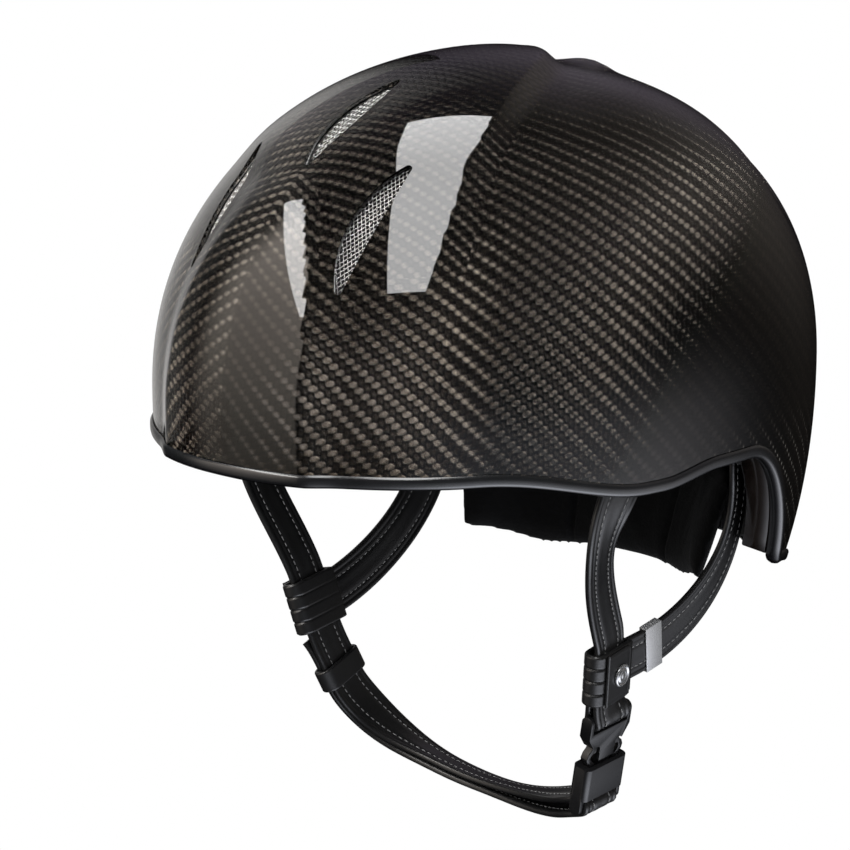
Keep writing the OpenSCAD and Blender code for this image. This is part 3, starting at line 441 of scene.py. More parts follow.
def bead_foam(b):
    where = b.place()
    bead = b.cells(where, 0.0032)
    return {"Base Color": b.tone(bead * 1.5, (0.022, 0.022, 0.023), (0.010, 0.010, 0.010)),
            "Roughness": b.noise(where, 0.003) * 0.15 + 0.68,
            "Normal": b.bump(1 - bead * 1.3, 0.0005, 0.8)}


def vent_wire(b):
    where = b.place()
    return {"Base Color": b.tone(b.noise(where, 0.002, 3.0), (0.48, 0.47, 0.46), (0.78, 0.77, 0.75)),
            "Metallic": 1.0, "Roughness": b.noise(where, 0.001, 2.0) * 0.2 + 0.18}


def knit_felt(b):
    where = b.place()
    loops = b.cells(where, 0.0011)
    fuzz = b.noise(where, 0.0005, 4.0, 0.7)
    tint = b.noise(where, 0.014, 3.0)
    colour = b.tone(tint * 0.5 + fuzz * 0.5, (0.0022, 0.0022, 0.0024), (0.0085, 0.0085, 0.009))
    return {"Base Color": colour, "Roughness": fuzz * 0.15 + 0.8, "Sheen Weight": 0.06,
            "Sheen Roughness": 0.45, "Specular IOR Level": 0.15,
            "Normal": b.bump(fuzz * 0.8 + loops * 0.9, 0.0002, 0.7)}


def grain_leather(b):
    where = b.place()
    pores = b.cells(where, 0.0009)
    creases = b.noise(where, 0.003, 4.0, 0.6)
    wear = b.noise(where, 0.02, 3.0)
    colour = b.tone(wear, (0.014, 0.014, 0.0145), (0.026, 0.0255, 0.0255))
    return {"Base Color": colour, "Roughness": wear * 0.12 + creases * 0.1 + 0.24,
            "Specular IOR Level": 0.6,
            "Normal": b.bump(pores * 0.9 + creases * 0.7, 0.00004, 0.6)}


def thread_grey(b):
    where = b.place()
    twist = b.noise(where, 0.0003, 2.0)
    return {"Base Color": b.tone(twist, (0.16, 0.16, 0.165), (0.60, 0.59, 0.58)),
            "Roughness": b.noise(where, 0.002) * 0.1 + 0.55, "Sheen Weight": 0.2,
            "Normal": b.bump(twist, 0.0001, 0.6)}


def brushed_steel(b):
    x, y, z = b.parts(b.place())
    lines = b.noise(b.vector(x, y, z * 40.0), 0.004, 3.0, 0.7)
    return {"Base Color": b.tone(lines, (0.55, 0.55, 0.56), (0.86, 0.86, 0.86)), "Metallic": 0.35,
            "Roughness": lines * 0.18 + 0.22, "Normal": b.bump(lines, 0.00002, 0.5)}


def dark_chrome(b):
    where = b.place()
    scuff = b.noise(where, 0.0016, 4.0, 0.7)
    return {"Base Color": b.tone(scuff, (0.45, 0.45, 0.46), (0.8, 0.8, 0.8)), "Metallic": 0.75,
            "Roughness": scuff * 0.12 + 0.16}


def buckle_plastic(b):
    where = b.place()
    spark = b.noise(where, 0.00045, 3.0, 0.6)
    return {"Base Color": b.tone(b.noise(where, 0.008), (0.008, 0.008, 0.009), (0.018, 0.018, 0.019)),
            "Roughness": spark * 0.16 + 0.22, "Normal": b.bump(spark, 0.00003, 0.5)}


FINISH = {f.__name__: finish_of(f.__name__, f) for f in (
    twill_carbon, trim_rubber, gloss_band, bead_foam, vent_wire, knit_felt, grain_leather,
    thread_grey, brushed_steel, dark_chrome, buckle_plastic)}


# ---- pieces
def placed(name, data):
    """A new object in the scene."""
    made = bpy.data.objects.new(name, data)
    bpy.context.scene.collection.objects.link(made)
    return made


def corners(mesh):
    flat = np.empty(len(mesh.vertices) * 3)
    mesh.vertices.foreach_get("co", flat)
    return flat.reshape(-1, 3)


def move_corners(mesh, points):
    mesh.vertices.foreach_set("co", points.ravel())
    mesh.update()


def dress(mesh, material, shade_smooth=True):
    """Gives a mesh one finish, and smooth or flat shading."""
    mesh.materials.clear()
    mesh.materials.append(FINISH[material])
    mesh.polygons.foreach_set("use_smooth", [shade_smooth] * len(mesh.polygons))
    mesh.update()


def mesh_object(name, points, faces, material, shade_smooth=True):
    mesh = bpy.data.meshes.new(name)
    mesh.from_pydata(seated(points).tolist(), [], [list(map(int, f)) for f in faces])
    dress(mesh, material, shade_smooth)
    return placed(name, mesh)


def face_outwards(made):
    """Merges doubles and turns a closed piece's faces outward."""
    bm = bmesh.new()
    bm.from_mesh(made.data)
    bmesh.ops.remove_doubles(bm, verts=bm.verts, dist=1e-7)
    bmesh.ops.recalc_face_normals(bm, faces=bm.faces)
    bm.to_mesh(made.data)
    bm.free()
    made.data.update()
    return made


def crease(made, degrees):
    """Keeps edges sharper than an angle crisp in smooth shading."""
    made.data.set_sharp_from_angle(angle=math.radians(degrees))


def closed_piece(name, points, faces, material, degrees):
    """A closed mesh whose faces point outwards, smooth up to an angle."""
    made = face_outwards(mesh_object(name, points, faces, material))
    crease(made, degrees)
    return made


def baked(made):
    """Turns an object's modifiers into plain mesh."""
    bpy.context.view_layer.update()
    graph = bpy.context.evaluated_depsgraph_get()
    mesh = bpy.data.meshes.new_from_object(made.evaluated_get(graph), depsgraph=graph)
    made.modifiers.clear()
    old, made.data = made.data, mesh
    mesh.name = old.name
    bpy.data.meshes.remove(old)
    return made


def fitted(made, body, slot, *nodes):
    """Puts a piece on its body in place of the frame's nodes. slot is not used."""
    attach(made, body)
    if nodes:
        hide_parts(*nodes)
    return made


def band(a, b, count):
    """The faces between two rings of points, which start at a and b."""
    return [(a + j, a + (j + 1) % count, b + (j + 1) % count, b + j) for j in range(count)]


def laid(section, at, across, up):
    """A flat section's points, set across a place on a route."""
    return at + section[:, :1] * across + section[:, 1:] * up


def sweep(sections, closed=False):
    """Points and faces of a skin over a row of sections with the same number of points."""
    rows, ring = len(sections), len(sections[0])
    faces = []
    for i in range(rows if closed else rows - 1):
        faces += band(i * ring, (i + 1) % rows * ring, ring)
    if not closed:
        faces += [tuple(range(ring))[::-1], tuple(range((rows - 1) * ring, rows * ring))]
    return np.concatenate([np.asarray(s, float) for s in sections]), faces


def join(*parts):
    points, faces, start = [], [], 0
    for p, f in parts:
        points.append(np.asarray(p, float))
        faces += [tuple(i + start for i in face) for face in f]
        start += len(p)
    return np.concatenate(points), faces


def refined(node, material, bevel, body, slot):
    """A copy of a frame node with merged faces and eased edges."""
    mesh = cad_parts[node].data.copy()
    made = placed(node + "_finished", mesh)
    bm = bmesh.new()
    bm.from_mesh(mesh)
    bmesh.ops.remove_doubles(bm, verts=bm.verts, dist=2e-6)
    bmesh.ops.dissolve_limit(bm, angle_limit=math.radians(0.8), verts=bm.verts, edges=bm.edges)
    bm.to_mesh(mesh)
    bm.free()
    dress(mesh, material)
    ease = made.modifiers.new("ease", "BEVEL")
    ease.width, ease.segments, ease.limit_method = bevel / 1000, 3, "ANGLE"
    ease.angle_limit = math.radians(35)
    ease.use_clamp_overlap, ease.harden_normals, ease.miter_outer = True, False, "MITER_ARC"
    baked(made)
    crease(made, 50)
    return fitted(made, body, slot, node)


def close_up(made, gap, thinner):
    """Draws a folded band in by gap against the strap that it goes round, and makes its sheet thinner."""
    points = corners(made.data)
    middle = points.mean(axis=0)
    ways = np.linalg.eigh(np.cov((points - middle).T))[1]
    local = (points - middle) @ ways
    half = np.abs(local).max(axis=0)
    for axis in (half.argmin(), half.argmax()):
        outside = np.abs(local[:, axis]) > half[axis] - 0.0004
        local[:, axis] -= np.sign(local[:, axis]) * (gap + thinner * outside) / 1000
    move_corners(made.data, local @ ways.T + middle)


# ---- geometry node trees
def geometry_tree(name, inputs):
    tree = bpy.data.node_groups.new(name, "GeometryNodeTree")
    tree.interface.new_socket("Geometry", in_out="INPUT", socket_type="NodeSocketGeometry")
    for label, kind, value in inputs:
        tree.interface.new_socket(label, in_out="INPUT", socket_type=kind).default_value = value
    tree.interface.new_socket("Geometry", in_out="OUTPUT", socket_type="NodeSocketGeometry")
    bench = Bench(tree)
    given = bench.node("NodeGroupInput").socket.node
    return bench, {s.name: Wire(bench, s) for s in given.outputs if s.name}


def end_tree(bench, shape, material):
    shape = bench.node("GeometryNodeRealizeInstances", None, {"Geometry": shape})
    shape = bench.node("GeometryNodeSetMaterial", None, {"Geometry": shape, "Material": material})
    bench.node("NodeGroupOutput", None, {"Geometry": shape})
    return bench.tree


def stitch_tree():
    """Thread bumps at an even pitch along the lines of a mesh."""
    b, given = geometry_tree("stitch_row", [
        ("Pitch", "NodeSocketFloat", 0.0026), ("Length", "NodeSocketFloat", 0.0019),
        ("Thread", "NodeSocketFloat", 0.00042), ("Finish", "NodeSocketMaterial", None)])
    line = b.node("GeometryNodeMeshToCurve", None, {"Mesh": given["Geometry"]})
    line = b.node("GeometryNodeResampleCurve", {"mode": "LENGTH"}, {"Curve": line, "Length": given["Pitch"]})
    bead = b.node("GeometryNodeMeshUVSphere", None, {"Segments": 6, "Rings": 5, "Radius": 0.5})
    bead = b.node("GeometryNodeTransform", None,
                  {"Geometry": bead, "Scale": b.vector(given["Thread"], given["Thread"], given["Length"])})
    bead = b.node("GeometryNodeSetShadeSmooth", None, {"Geometry": bead})
    turn = b.node("FunctionNodeAlignRotationToVector", {"axis": "Z"},
                  {"Vector": b.node("GeometryNodeInputTangent")})
    spread = b.node("GeometryNodeInstanceOnPoints", None, {"Points": line, "Instance": bead, "Rotation": turn})
    return end_tree(b, spread, given["Finish"])


def wire_tree():
    """Round wires along the lines of a mesh."""
    b, given = geometry_tree("mesh_wires", [
        ("Wire radius", "NodeSocketFloat", 0.00025), ("Finish", "NodeSocketMaterial", None)])
    line = b.node("GeometryNodeMeshToCurve", None, {"Mesh": given["Geometry"]})
    ring = b.node("GeometryNodeCurvePrimitiveCircle", None, {"Resolution": 6, "Radius": given["Wire radius"]})
    tube = b.node("GeometryNodeCurveToMesh", None, {"Curve": line, "Profile Curve": ring, "Fill Caps": True})
    tube = b.node("GeometryNodeSetShadeSmooth", None, {"Geometry": tube})
    return end_tree(b, tube, given["Finish"])


TREES = {"stitches": stitch_tree(), "wires": wire_tree()}


def along_lines(name, lines, tree, material, **values):
    """Runs a geometry node tree over lines and returns the plain result."""
    points, edges = [], []
    for line in lines:
        edges += [(len(points) + i, len(points) + i + 1) for i in range(len(line) - 1)]
        points += list(line)
    mesh = bpy.data.meshes.new(name)
    mesh.from_pydata(seated(points).tolist(), edges, [])
    made = placed(name, mesh)
    step = made.modifiers.new(name, "NODES")
    step.node_group = TREES[tree]
    given = {s.name: s.identifier for s in TREES[tree].interface.items_tree if s.in_out == "INPUT"}
    step[given["Finish"]] = FINISH[material]
    for key, value in values.items():
        step[given[key.replace("_", " ")]] = value / 1000
    return baked(made)


# ---- carbon shell
VENT_LEN, VENT_W, VENT_TIP_R, CENTRE_VENT_Y, SIDE_VENT_PHI, SIDE_VENT_Z = 56, 10, 1.35, 75.5, 20, 121
CENTRE_VENT_Z = CENTRE_Z + CROWN_RISE * (1 - (CENTRE_VENT_Y / FRONT_LEN) ** SIDE_POWER) ** (1 / SIDE_POWER)
# Each slot's turn from the brow, its height and its side
VENTS = {"centre": (0, CENTRE_VENT_Z, 0), "left": (SIDE_VENT_PHI, SIDE_VENT_Z, 1),
         "right": (-SIDE_VENT_PHI, SIDE_VENT_Z, -1)}


def vent_frame(vent):
    b = dome(vent[0], tau_at(vent[1]))
    n = dome_normal(b)
    up = unit(np.array([0, n[2], -n[1]]))
    return b, unit(np.cross(up, n)), up, n


def vent_circles(vent, margin):
    """Centres along the slot's cross axis, and radii, of the two arcs of its lens."""
    half = VENT_LEN / 2 + margin
    bulge = 0.5 if vent[2] == 0 else 0.86
    rises = VENT_W * bulge + margin, VENT_W * (1 - bulge) + margin
    radii = [(half * half + r * r) / (2 * r) for r in rises]
    side = -1 if vent[2] < 0 else 1
    return (side * (radii[0] - rises[0]), radii[0]), (side * (rises[1] - radii[1]), radii[1])


def vent_outside(vent, a, c, margin):
    """Positive outside the slot's lens, grown by a margin."""
    return np.maximum(*(np.hypot(a - x, c) - r for x, r in vent_circles(vent, margin)))


def vent_loop(vent, margin):
    """The slot's lens with rounded tips, as a loop in its own plane."""
    tip = VENT_TIP_R
    half = VENT_LEN / 2 + margin - tip
    (x0, r0), (x1, r1) = ((abs(x), r) for x, r in vent_circles(vent, margin - tip))
    end0, end1 = math.asin(half / r0), math.asin(half / r1)
    t0, t1 = np.linspace(-end0, end0, 30), np.linspace(end1, -end1, 30)
    high, low = np.linspace(math.pi - end0, end1, 9)[1:-1], np.linspace(-end1, end0 - math.pi, 9)[1:-1]
    a = [x0 - (r0 + tip) * np.cos(t0), tip * np.cos(high), (r1 + tip) * np.cos(t1) - x1, tip * np.cos(low)]
    c = [(r0 + tip) * np.sin(t0), half + tip * np.sin(high), (r1 + tip) * np.sin(t1), tip * np.sin(low) - half]
    return np.stack([np.concatenate(a) * (-1 if vent[2] < 0 else 1), np.concatenate(c)], -1)


def on_skin_along(vent, flat, depth):
    """Points over the slot's plane that lie at a depth under the shell's face."""
    b, across, up, n = vent_frame(vent)
    p = b + flat[:, :1] * across + flat[:, 1:] * up
    for _ in range(8):
        q, m, deep = foot_on_dome(p)
        p = p + n * ((deep + relief(q) - depth) / dots(m, n))[:, None]
    return p


def cut_slot(points, normals, faces, vent):
    """Opens one slot in the outer skin and sews the skin to the slot's edge."""
    b, across, up, n = vent_frame(vent)
    q = points - b
    a, c = dots(q, across), dots(q, up)
    near = (dots(q, n) > -40) & (vent_outside(vent, a, c, 3.4) < 0)
    kept = [f for f in faces if not near[list(f)].any()]
    gone = [f for f in faces if near[list(f)].any()]
    ways = {}
    for f in gone:
        for i in range(len(f)):
            ways[f[i], f[(i + 1) % len(f)]] = True
    border = {s: e for s, e in ways if (e, s) not in ways}
    ring = [next(iter(border))]
    while border[ring[-1]] != ring[0]:
        ring.append(border[ring[-1]])
    loop = vent_loop(vent, 0)
    flat = np.concatenate([np.stack([a[ring], c[ring]], -1), loop])
    edges = [(i, (i + 1) % len(ring)) for i in range(len(ring))]
    edges += [(len(ring) + i, len(ring) + (i + 1) % len(loop)) for i in range(len(loop))]
    _, _, tris, source, _, _ = delaunay_2d_cdt([Vector(p) for p in flat], edges, [], 0, 1e-6)
    rim = on_skin_along(vent, loop, 0)
    foot = foot_on_dome(rim)[0]
    index = ring + list(range(len(points), len(points) + len(loop)))
    outline = flat[:len(ring)]
    for t in tris:
        t = [source[i][0] for i in t]
        middle = flat[t].mean(0)
        if inside(middle, loop) or not inside(middle, outline):
            continue
        p, q, r = (flat[i] for i in t)
        turned = (q[0] - p[0]) * (r[1] - p[1]) - (q[1] - p[1]) * (r[0] - p[0]) > 0
        kept.append(tuple(index[i] for i in (t if turned else t[::-1])))
    return (np.concatenate([points, rim]), np.concatenate([normals, skin_normal(foot)]), kept,
            on_skin_along(vent, vent_loop(vent, 1.6), SHELL_T))


def inside(point, outline):
    a, b = outline, np.roll(outline, -1, 0)
    over = (a[:, 1] > point[1]) != (b[:, 1] > point[1])
    at = a[:, 0] + (point[1] - a[:, 1]) * (b[:, 0] - a[:, 0]) / np.where(over, b[:, 1] - a[:, 1], 1)
    return np.count_nonzero(over & (point[0] < at)) % 2 == 1


# A tow's width in mm, and the turn from the brow at which the side cloth's count starts
TOW, CLOTH_START_PHI = 2.1, 80
# Tows per mm across the head and along it, of the two ways of the cloth over the raised tongue
TOP_WARP, TOP_WEFT = (0.19, 0.48), (0.39, -0.38)
# How far that cloth reaches past the tongue, stays off the shield and comes down, in mm
TOP_REACH, TOP_OFF_SHIELD, TOP_LOW_Z = 8.5, 3, 104
# Columns of the shell, and of the bands along its rim
COLUMNS = 384


def side_cloth(p):
    """Tow counts of the cloth on the shell's sides: round the head, and down from the crown."""
    phi, tau = angles_of(p)
    table = np.arange(0, 180.01, 0.5)
    plan = plan_reach(table)[:, None] * np.stack([np.sin(np.radians(table)), -np.cos(np.radians(table))], -1)
    run = np.concatenate([[0], np.cumsum(np.linalg.norm(np.diff(plan, axis=0), axis=1))])
    run -= np.interp(CLOTH_START_PHI, table, run)
    u = np.interp(np.abs(phi), table, run) * np.abs(np.cos(np.radians(tau))) ** (2 / SIDE_POWER)
    steps = np.linspace(0, 1, 33)
    line = dome(phi[:, None], tau[:, None] * steps)
    rise = np.linalg.norm(np.diff(line, axis=1), axis=2).sum(1) * np.sign(tau)
    return np.stack([u / TOW, -rise / TOW, np.zeros(len(p))], -1)


def top_cloth(p):
    """Tow counts of the cloth laid askew over the raised tongue, and how far inside it a point is."""
    x, y = p[:, 0], p[:, 1]
    steps = np.linspace(0, 1, 25)

    def over(xs, ys):
        phi = np.degrees(np.arctan2(xs, -ys))
        share = np.minimum(np.hypot(xs, ys) / plan_reach(phi), 1)
        z = CENTRE_Z + CROWN_RISE * (1 - share ** SIDE_POWER) ** (1 / SIDE_POWER)
        return np.linalg.norm(np.diff(np.stack([xs, ys, z], -1), axis=1), axis=2).sum(1)
    wide = over(x[:, None] * steps, y[:, None] * np.ones(25)) * np.sign(x)
    long = over(x[:, None] * np.ones(25), y[:, None] * steps) * np.sign(y)
    inset = np.minimum(np.minimum(TOP_REACH - off_tongue(p), off_shield(p) - TOP_OFF_SHIELD), p[:, 2] - TOP_LOW_Z)
    return np.stack([a * wide + c * long for a, c in (TOP_WARP, TOP_WEFT)] + [inset], -1)


def carbon_shell():
    rows = 84
    phi = np.arange(COLUMNS) * 360 / COLUMNS
    low = tau_at(rim_z(phi))
    share = np.linspace(0, 1, rows + 1)[:-1]
    tau = low[None] + (90 - low[None]) * share[:, None]
    base = dome(np.broadcast_to(phi, tau.shape), tau).reshape(-1, 3)
    base = np.concatenate([base, dome(0.0, 90.0)[None]])
    points, normals = skin(base), skin_normal(base)
    faces = []
    for i in range(rows - 1):
        faces += band(i * COLUMNS, (i + 1) * COLUMNS, COLUMNS)
    last = (rows - 1) * COLUMNS
    faces += [(last + j, last + (j + 1) % COLUMNS, len(base) - 1) for j in range(COLUMNS)]
    inner = base - dome_normal(base) * (SHELL_T - relief(base))[:, None]
    for vent in VENTS.values():
        points, normals, faces, lower = cut_slot(points, normals, faces, vent)
        inner = np.concatenate([inner, lower])
    used = sorted({i for f in faces for i in f})
    index = {old: new for new, old in enumerate(used)}
    faces = [tuple(index[i] for i in f) for f in faces]
    points, normals, inner = points[used], normals[used], inner[used]
    count = len(points)
    ways = {(f[i], f[(i + 1) % len(f)]) for f in faces for i in range(len(f))}
    rims = [(s, e) for s, e in ways if (e, s) not in ways]
    walls = [(e, e + count, s + count, s) for s, e in rims]
    skins = faces + [tuple(i + count for i in f)[::-1] for f in faces]
    made = mesh_object("carbon_shell", np.concatenate([points, inner]), skins + walls, "twill_carbon")
    foot = foot_on_dome(points)[0]
    for name, values in (("side_cloth", side_cloth(foot)), ("top_cloth", top_cloth(foot))):
        layer = made.data.attributes.new(name, "FLOAT_VECTOR", "POINT")
        layer.data.foreach_set("vector", np.concatenate([values, values]).ravel())
    looks = np.concatenate([normals, -normals])[[i for f in skins for i in f]]
    everything = np.concatenate([points, inner])
    wall = np.array(walls)
    square = unit(np.cross(everything[wall[:, 1]] - everything[wall[:, 0]],
                           everything[wall[:, 3]] - everything[wall[:, 0]]))
    total = np.zeros((2 * count, 3))
    for i in range(4):
        np.add.at(total, wall[:, i], square)
    looks = np.concatenate([looks, unit(total)[wall.ravel()]])
    border = {tuple(sorted(pair)) for s, e in rims for pair in ((s, e), (s + count, e + count))}
    edges = np.empty(2 * len(made.data.edges), dtype=np.int32)
    made.data.edges.foreach_get("vertices", edges)
    crisp = made.data.attributes.new("sharp_edge", "BOOLEAN", "EDGE")
    crisp.data.foreach_set("value", [tuple(sorted(pair)) in border for pair in edges.reshape(-1, 2).tolist()])
    made.data.normals_split_custom_set(looks.tolist())
    fitted(made, "helmet", "carbon", "outer_shell")


carbon_shell()


def ring_piece(name, finish, node, profile):
    """A closed band along the rim, from a profile that may change from place to place."""
    sections = [laid(np.asarray(profile(at), float), at, out, up)
                for at, out, up in zip(*rim_frames(np.arange(COLUMNS) * 360 / COLUMNS))]
    fitted(closed_piece(name, *sweep(sections, True), finish, 55), "helmet", finish, node)


def trim_profile(_):
    """A soft channel: a rounded outer lip, a full round bottom and a shorter inner lip."""
    g, t, lip = TRIM_GAP, TRIM_T, TRIM_LIP
    far = -SHELL_T - g - t
    outer = [(g, lip - 0.1), (g + 0.25, lip + 0.05), (g + 0.75, lip - 0.25), (g + t - 0.08, lip - 0.9),
             (g + t, 1.2), (g + t, 0), (g + t - 0.15, -0.75), (g + t - 0.6, -1.35)]
    base = [(-0.3, -1.8), (-SHELL_T / 2, -g - 1.6 * t), (-SHELL_T + 0.3, -1.8)]
    inner = [(far + 0.6, -1.35), (far + 0.15, -0.75), (far, 0), (far, lip - 1.6), (far + 0.3, lip - 1.1),
             (far + 0.8, lip - 0.75), (far + t, lip - 0.9)]
    return outer + base + inner + [(far + t, -g), (g, -g)]


def band_profile(at):
    """The gloss band's flat section, cut back where a front strap passes."""
    start, top, thick, end, passing = 4.95, 1.8, 1.0, 14.65, 11.2
    out = anchor_out(FRONT_ANCHOR)
    away = np.array([abs(at[0]), at[1], at[2]]) - anchor_point(FRONT_ANCHOR)
    if abs(dots(away, np.cross((0, 0, 1), out))) < passing and dots(away, out) > 0:
        start = passing
    return [(-start, top - 0.3), (-start - 0.3, top), (-end + 0.3, top), (-end, top - 0.3),
            (-end, top - thick + 0.3), (-end + 0.3, top - thick), (-start - 0.3, top - thick),
            (-start, top - thick + 0.3)]


# ---- harness frames and routes
# The length of one piece of a strap, how far its rows of stitches lie from its middle, and how far it
# runs straight above and below its anchor
ROUTE_STEP, STITCH_ROW, HANG_UP, HANG_DOWN = 1.3, 4.4, 12, 14
FRONT_ANCHOR = (72, 38, SHELL_T + 5)
REAR_ANCHOR = (122, 22, float(liner_depth(122.0, tau_at(22))) - 3)
MIRROR = np.array([-1.0, 1, 1])
# The chin strap's way across, under the chin
UNDER_CHIN = np.array([0, 0.97, -0.24])


def anchor_point(anchor):
    return under(float(anchor[0]), tau_at(anchor[1]), anchor[2])


def anchor_out(anchor):
    n = dome_normal(dome(float(anchor[0]), tau_at(anchor[1])))
    return unit(np.array([n[0], n[1], 0]))


class Lean:
    """A leaning frame: its place, and its ways outward, rearward and up the strap."""

    def __init__(self, place, lean):
        x, y, z = (math.radians(a) for a in lean)

        def spin(v):
            return np.array([v[0] * math.cos(z) - v[1] * math.sin(z),
                             v[0] * math.sin(z) + v[1] * math.cos(z), v[2]])
        self.place = np.array(place, float)
        self.up = spin((math.cos(x) * math.sin(y), -math.sin(x), math.cos(x) * math.cos(y)))
        self.out = spin((math.cos(y), 0, -math.sin(y)))
        self.back = np.cross(self.up, self.out)

    def at(self, x, y, z):
        return self.place + self.out * x + self.back * y + self.up * z

    def mirrored(self):
        other = object.__new__(Lean)
        for key in ("place", "up", "out", "back"):
            setattr(other, key, getattr(self, key) * MIRROR)
        return other


LEFT_LOOP = Lean((HALF_W - 37, -13, -59), (6, 7, 8))
RIGHT_LOOP = Lean((HALF_W - 36, -22, -57), (9, 14, 2))
BUCKLE = Lean((HALF_W - 44, -7, -96), (7, 15, 0))
KEEPER = Lean((0, 0, 0), (20, 14, 2))
KEEPER.place = RIGHT_LOOP.place - RIGHT_LOOP.up * 12 - KEEPER.up * 18


def bezier(a, b, c, d, t):
    return a * (1 - t) ** 3 + b * 3 * t * (1 - t) ** 2 + c * 3 * t * t * (1 - t) + d * t ** 3


def curve(a, b, c, d, steps):
    return [bezier(a, b, c, d, i / steps) for i in range(1, steps + 1)]


def turning(a, b, steps):
    return [unit(a + (b - a) * smooth(i / steps)) for i in range(1, steps + 1)]


def hang(anchor):
    p, up = anchor_point(anchor), np.array([0, 0, 1.0])
    return [p + up * HANG_UP, p, p - up * HANG_DOWN]


def drop_route(loop, shift, bow):
    """A front strap's way from its anchor through its loop."""
    top = anchor_point(FRONT_ANCHOR) - (0, 0, HANG_DOWN)
    end = loop.at(shift, 0, LOOP_H / 2 + 2)
    way = curve(top, top + (0, -bow, -26), end + loop.up * 26 - (0, bow / 2, 0), end, 10)
    route = hang(FRONT_ANCHOR) + way + [loop.at(shift, 0, -LOOP_H / 2 - 1)]
    out = anchor_out(FRONT_ANCHOR)
    return route, [out] * 3 + turning(out, loop.out, 5) + [loop.out] * 6


def rear_route(loop, sag):
    """A rear strap's way from its anchor to the back of its loop."""
    top = anchor_point(REAR_ANCHOR) - (0, 0, HANG_DOWN)
    end = loop.at(0, LOOP_REACH, 0)
    lead = end + loop.back * 3
    way = curve(top, top + (-6, 6 + 7 * sag, -32 - 10 * sag),
                lead + loop.back * 16 + (3 * sag, 14 + 10 * sag, 6 - 6 * sag), lead, 12)
    out = anchor_out(REAR_ANCHOR)
    return hang(REAR_ANCHOR) + way + [end], [out] * 3 + turning(out, loop.out, 12) + [loop.out]


def eased(route, outs):
    """Rounds a route's corners and spaces its points evenly, with frames along it."""
    line = np.concatenate([np.array(route, float), np.array(outs, float)], 1)
    for _ in range(3):
        a, b = line[:-1], line[1:]
        cut = np.empty((2 * len(a), 6))
        cut[0::2], cut[1::2] = 0.75 * a + 0.25 * b, 0.25 * a + 0.75 * b
        line = np.concatenate([line[:1], cut, line[-1:]])
    far = np.concatenate([[0], np.cumsum(np.linalg.norm(np.diff(line[:, :3], axis=0), axis=1))])
    stops = np.linspace(0, far[-1], max(3, int(far[-1] / ROUTE_STEP)))
    line = np.stack([np.interp(stops, far, line[:, i]) for i in range(6)], -1)
    p = line[:, :3]
    along = unit(np.concatenate([p[1:2] - p[:1], p[2:] - p[:-2], p[-1:] - p[-2:-1]]))
    across = unit(np.cross(line[:, 3:], along))
    return p, across, np.cross(along, across)


def strap_section():
    """Across and up: on both faces a piped edge and a groove for each row of stitches."""
    half, t = STRAP_W / 2, STRAP_T / 2
    face = [(half, 0.3), (half - 0.15, 0.75), (half - 0.5, 1.08), (half - 1.0, t), (half - 1.6, t),
            (half - 2.0, 1.05), (half - 2.3, 0.92), (half - 2.7, 1.0), (half - 3.3, 1.12), (4.95, 1.08),
            (STITCH_ROW, 0.86), (3.85, 1.08), (2.6, t), (1.2, t - 0.04), (0, t - 0.08)]
    top = face + [(-s, h) for s, h in face[-2::-1]]
    back = [(s, -h) for s, h in top[::-1]]
    return np.array(top + back)


def strap(name, route, outs, mirror):
    """A leather strap and the lines of its stitches."""
    p, across, out = eased(route, outs)
    section = strap_section()
    points, faces = sweep([laid(section, *place) for place in zip(p, across, out)])
    lines = [p[2:-2] + across[2:-2] * STITCH_ROW * side + out[2:-2] * 0.98 * face
             for side in (1, -1) for face in (1, -1)]
    if mirror:
        points = points * MIRROR
        lines = [line * MIRROR for line in lines]
    return closed_piece(name, points, faces, "grain_leather", 60), lines


def stitched(name, lines):
    return along_lines(name, lines, "stitches", "thread_grey", Pitch=2.7, Length=1.9, Thread=0.5)


def harness():
    """The four straps that hang from the shell."""
    turns = [math.radians(t) for t in range(0, -181, -30)]
    route, outs = drop_route(LEFT_LOOP, LAYER, 20)
    route += [BUCKLE.at(WRAP_R * math.cos(t), 0, PLUG_BAR_Z + WRAP_R * math.sin(t)) for t in turns]
    outs += [BUCKLE.out * math.cos(t) + BUCKLE.up * math.sin(t) for t in turns]
    route += [LEFT_LOOP.at(-LAYER, 0, -LOOP_H / 2 - 1), LEFT_LOOP.at(-LAYER, 0, LOOP_H / 2 - 2)]
    outs += [-LEFT_LOOP.out, -LEFT_LOOP.out]
    far_route, far_outs = drop_route(RIGHT_LOOP, -LAYER, 6)
    straps = {"left_front_strap": (route, outs),
              "right_front_strap": (far_route + [KEEPER.at(-LAYER, 0, 0)], far_outs + [KEEPER.out]),
              "left_rear_strap": rear_route(LEFT_LOOP, 0.8), "right_rear_strap": rear_route(RIGHT_LOOP, 0.0)}
    stitches = []
    for node, (route, outs) in straps.items():
        made, lines = strap(node + "_leather", route, outs, node.startswith("right"))
        fitted(made, "helmet", "leather", node)
        stitches += lines
    fitted(stitched("strap_stitches", stitches), "helmet", "leather")


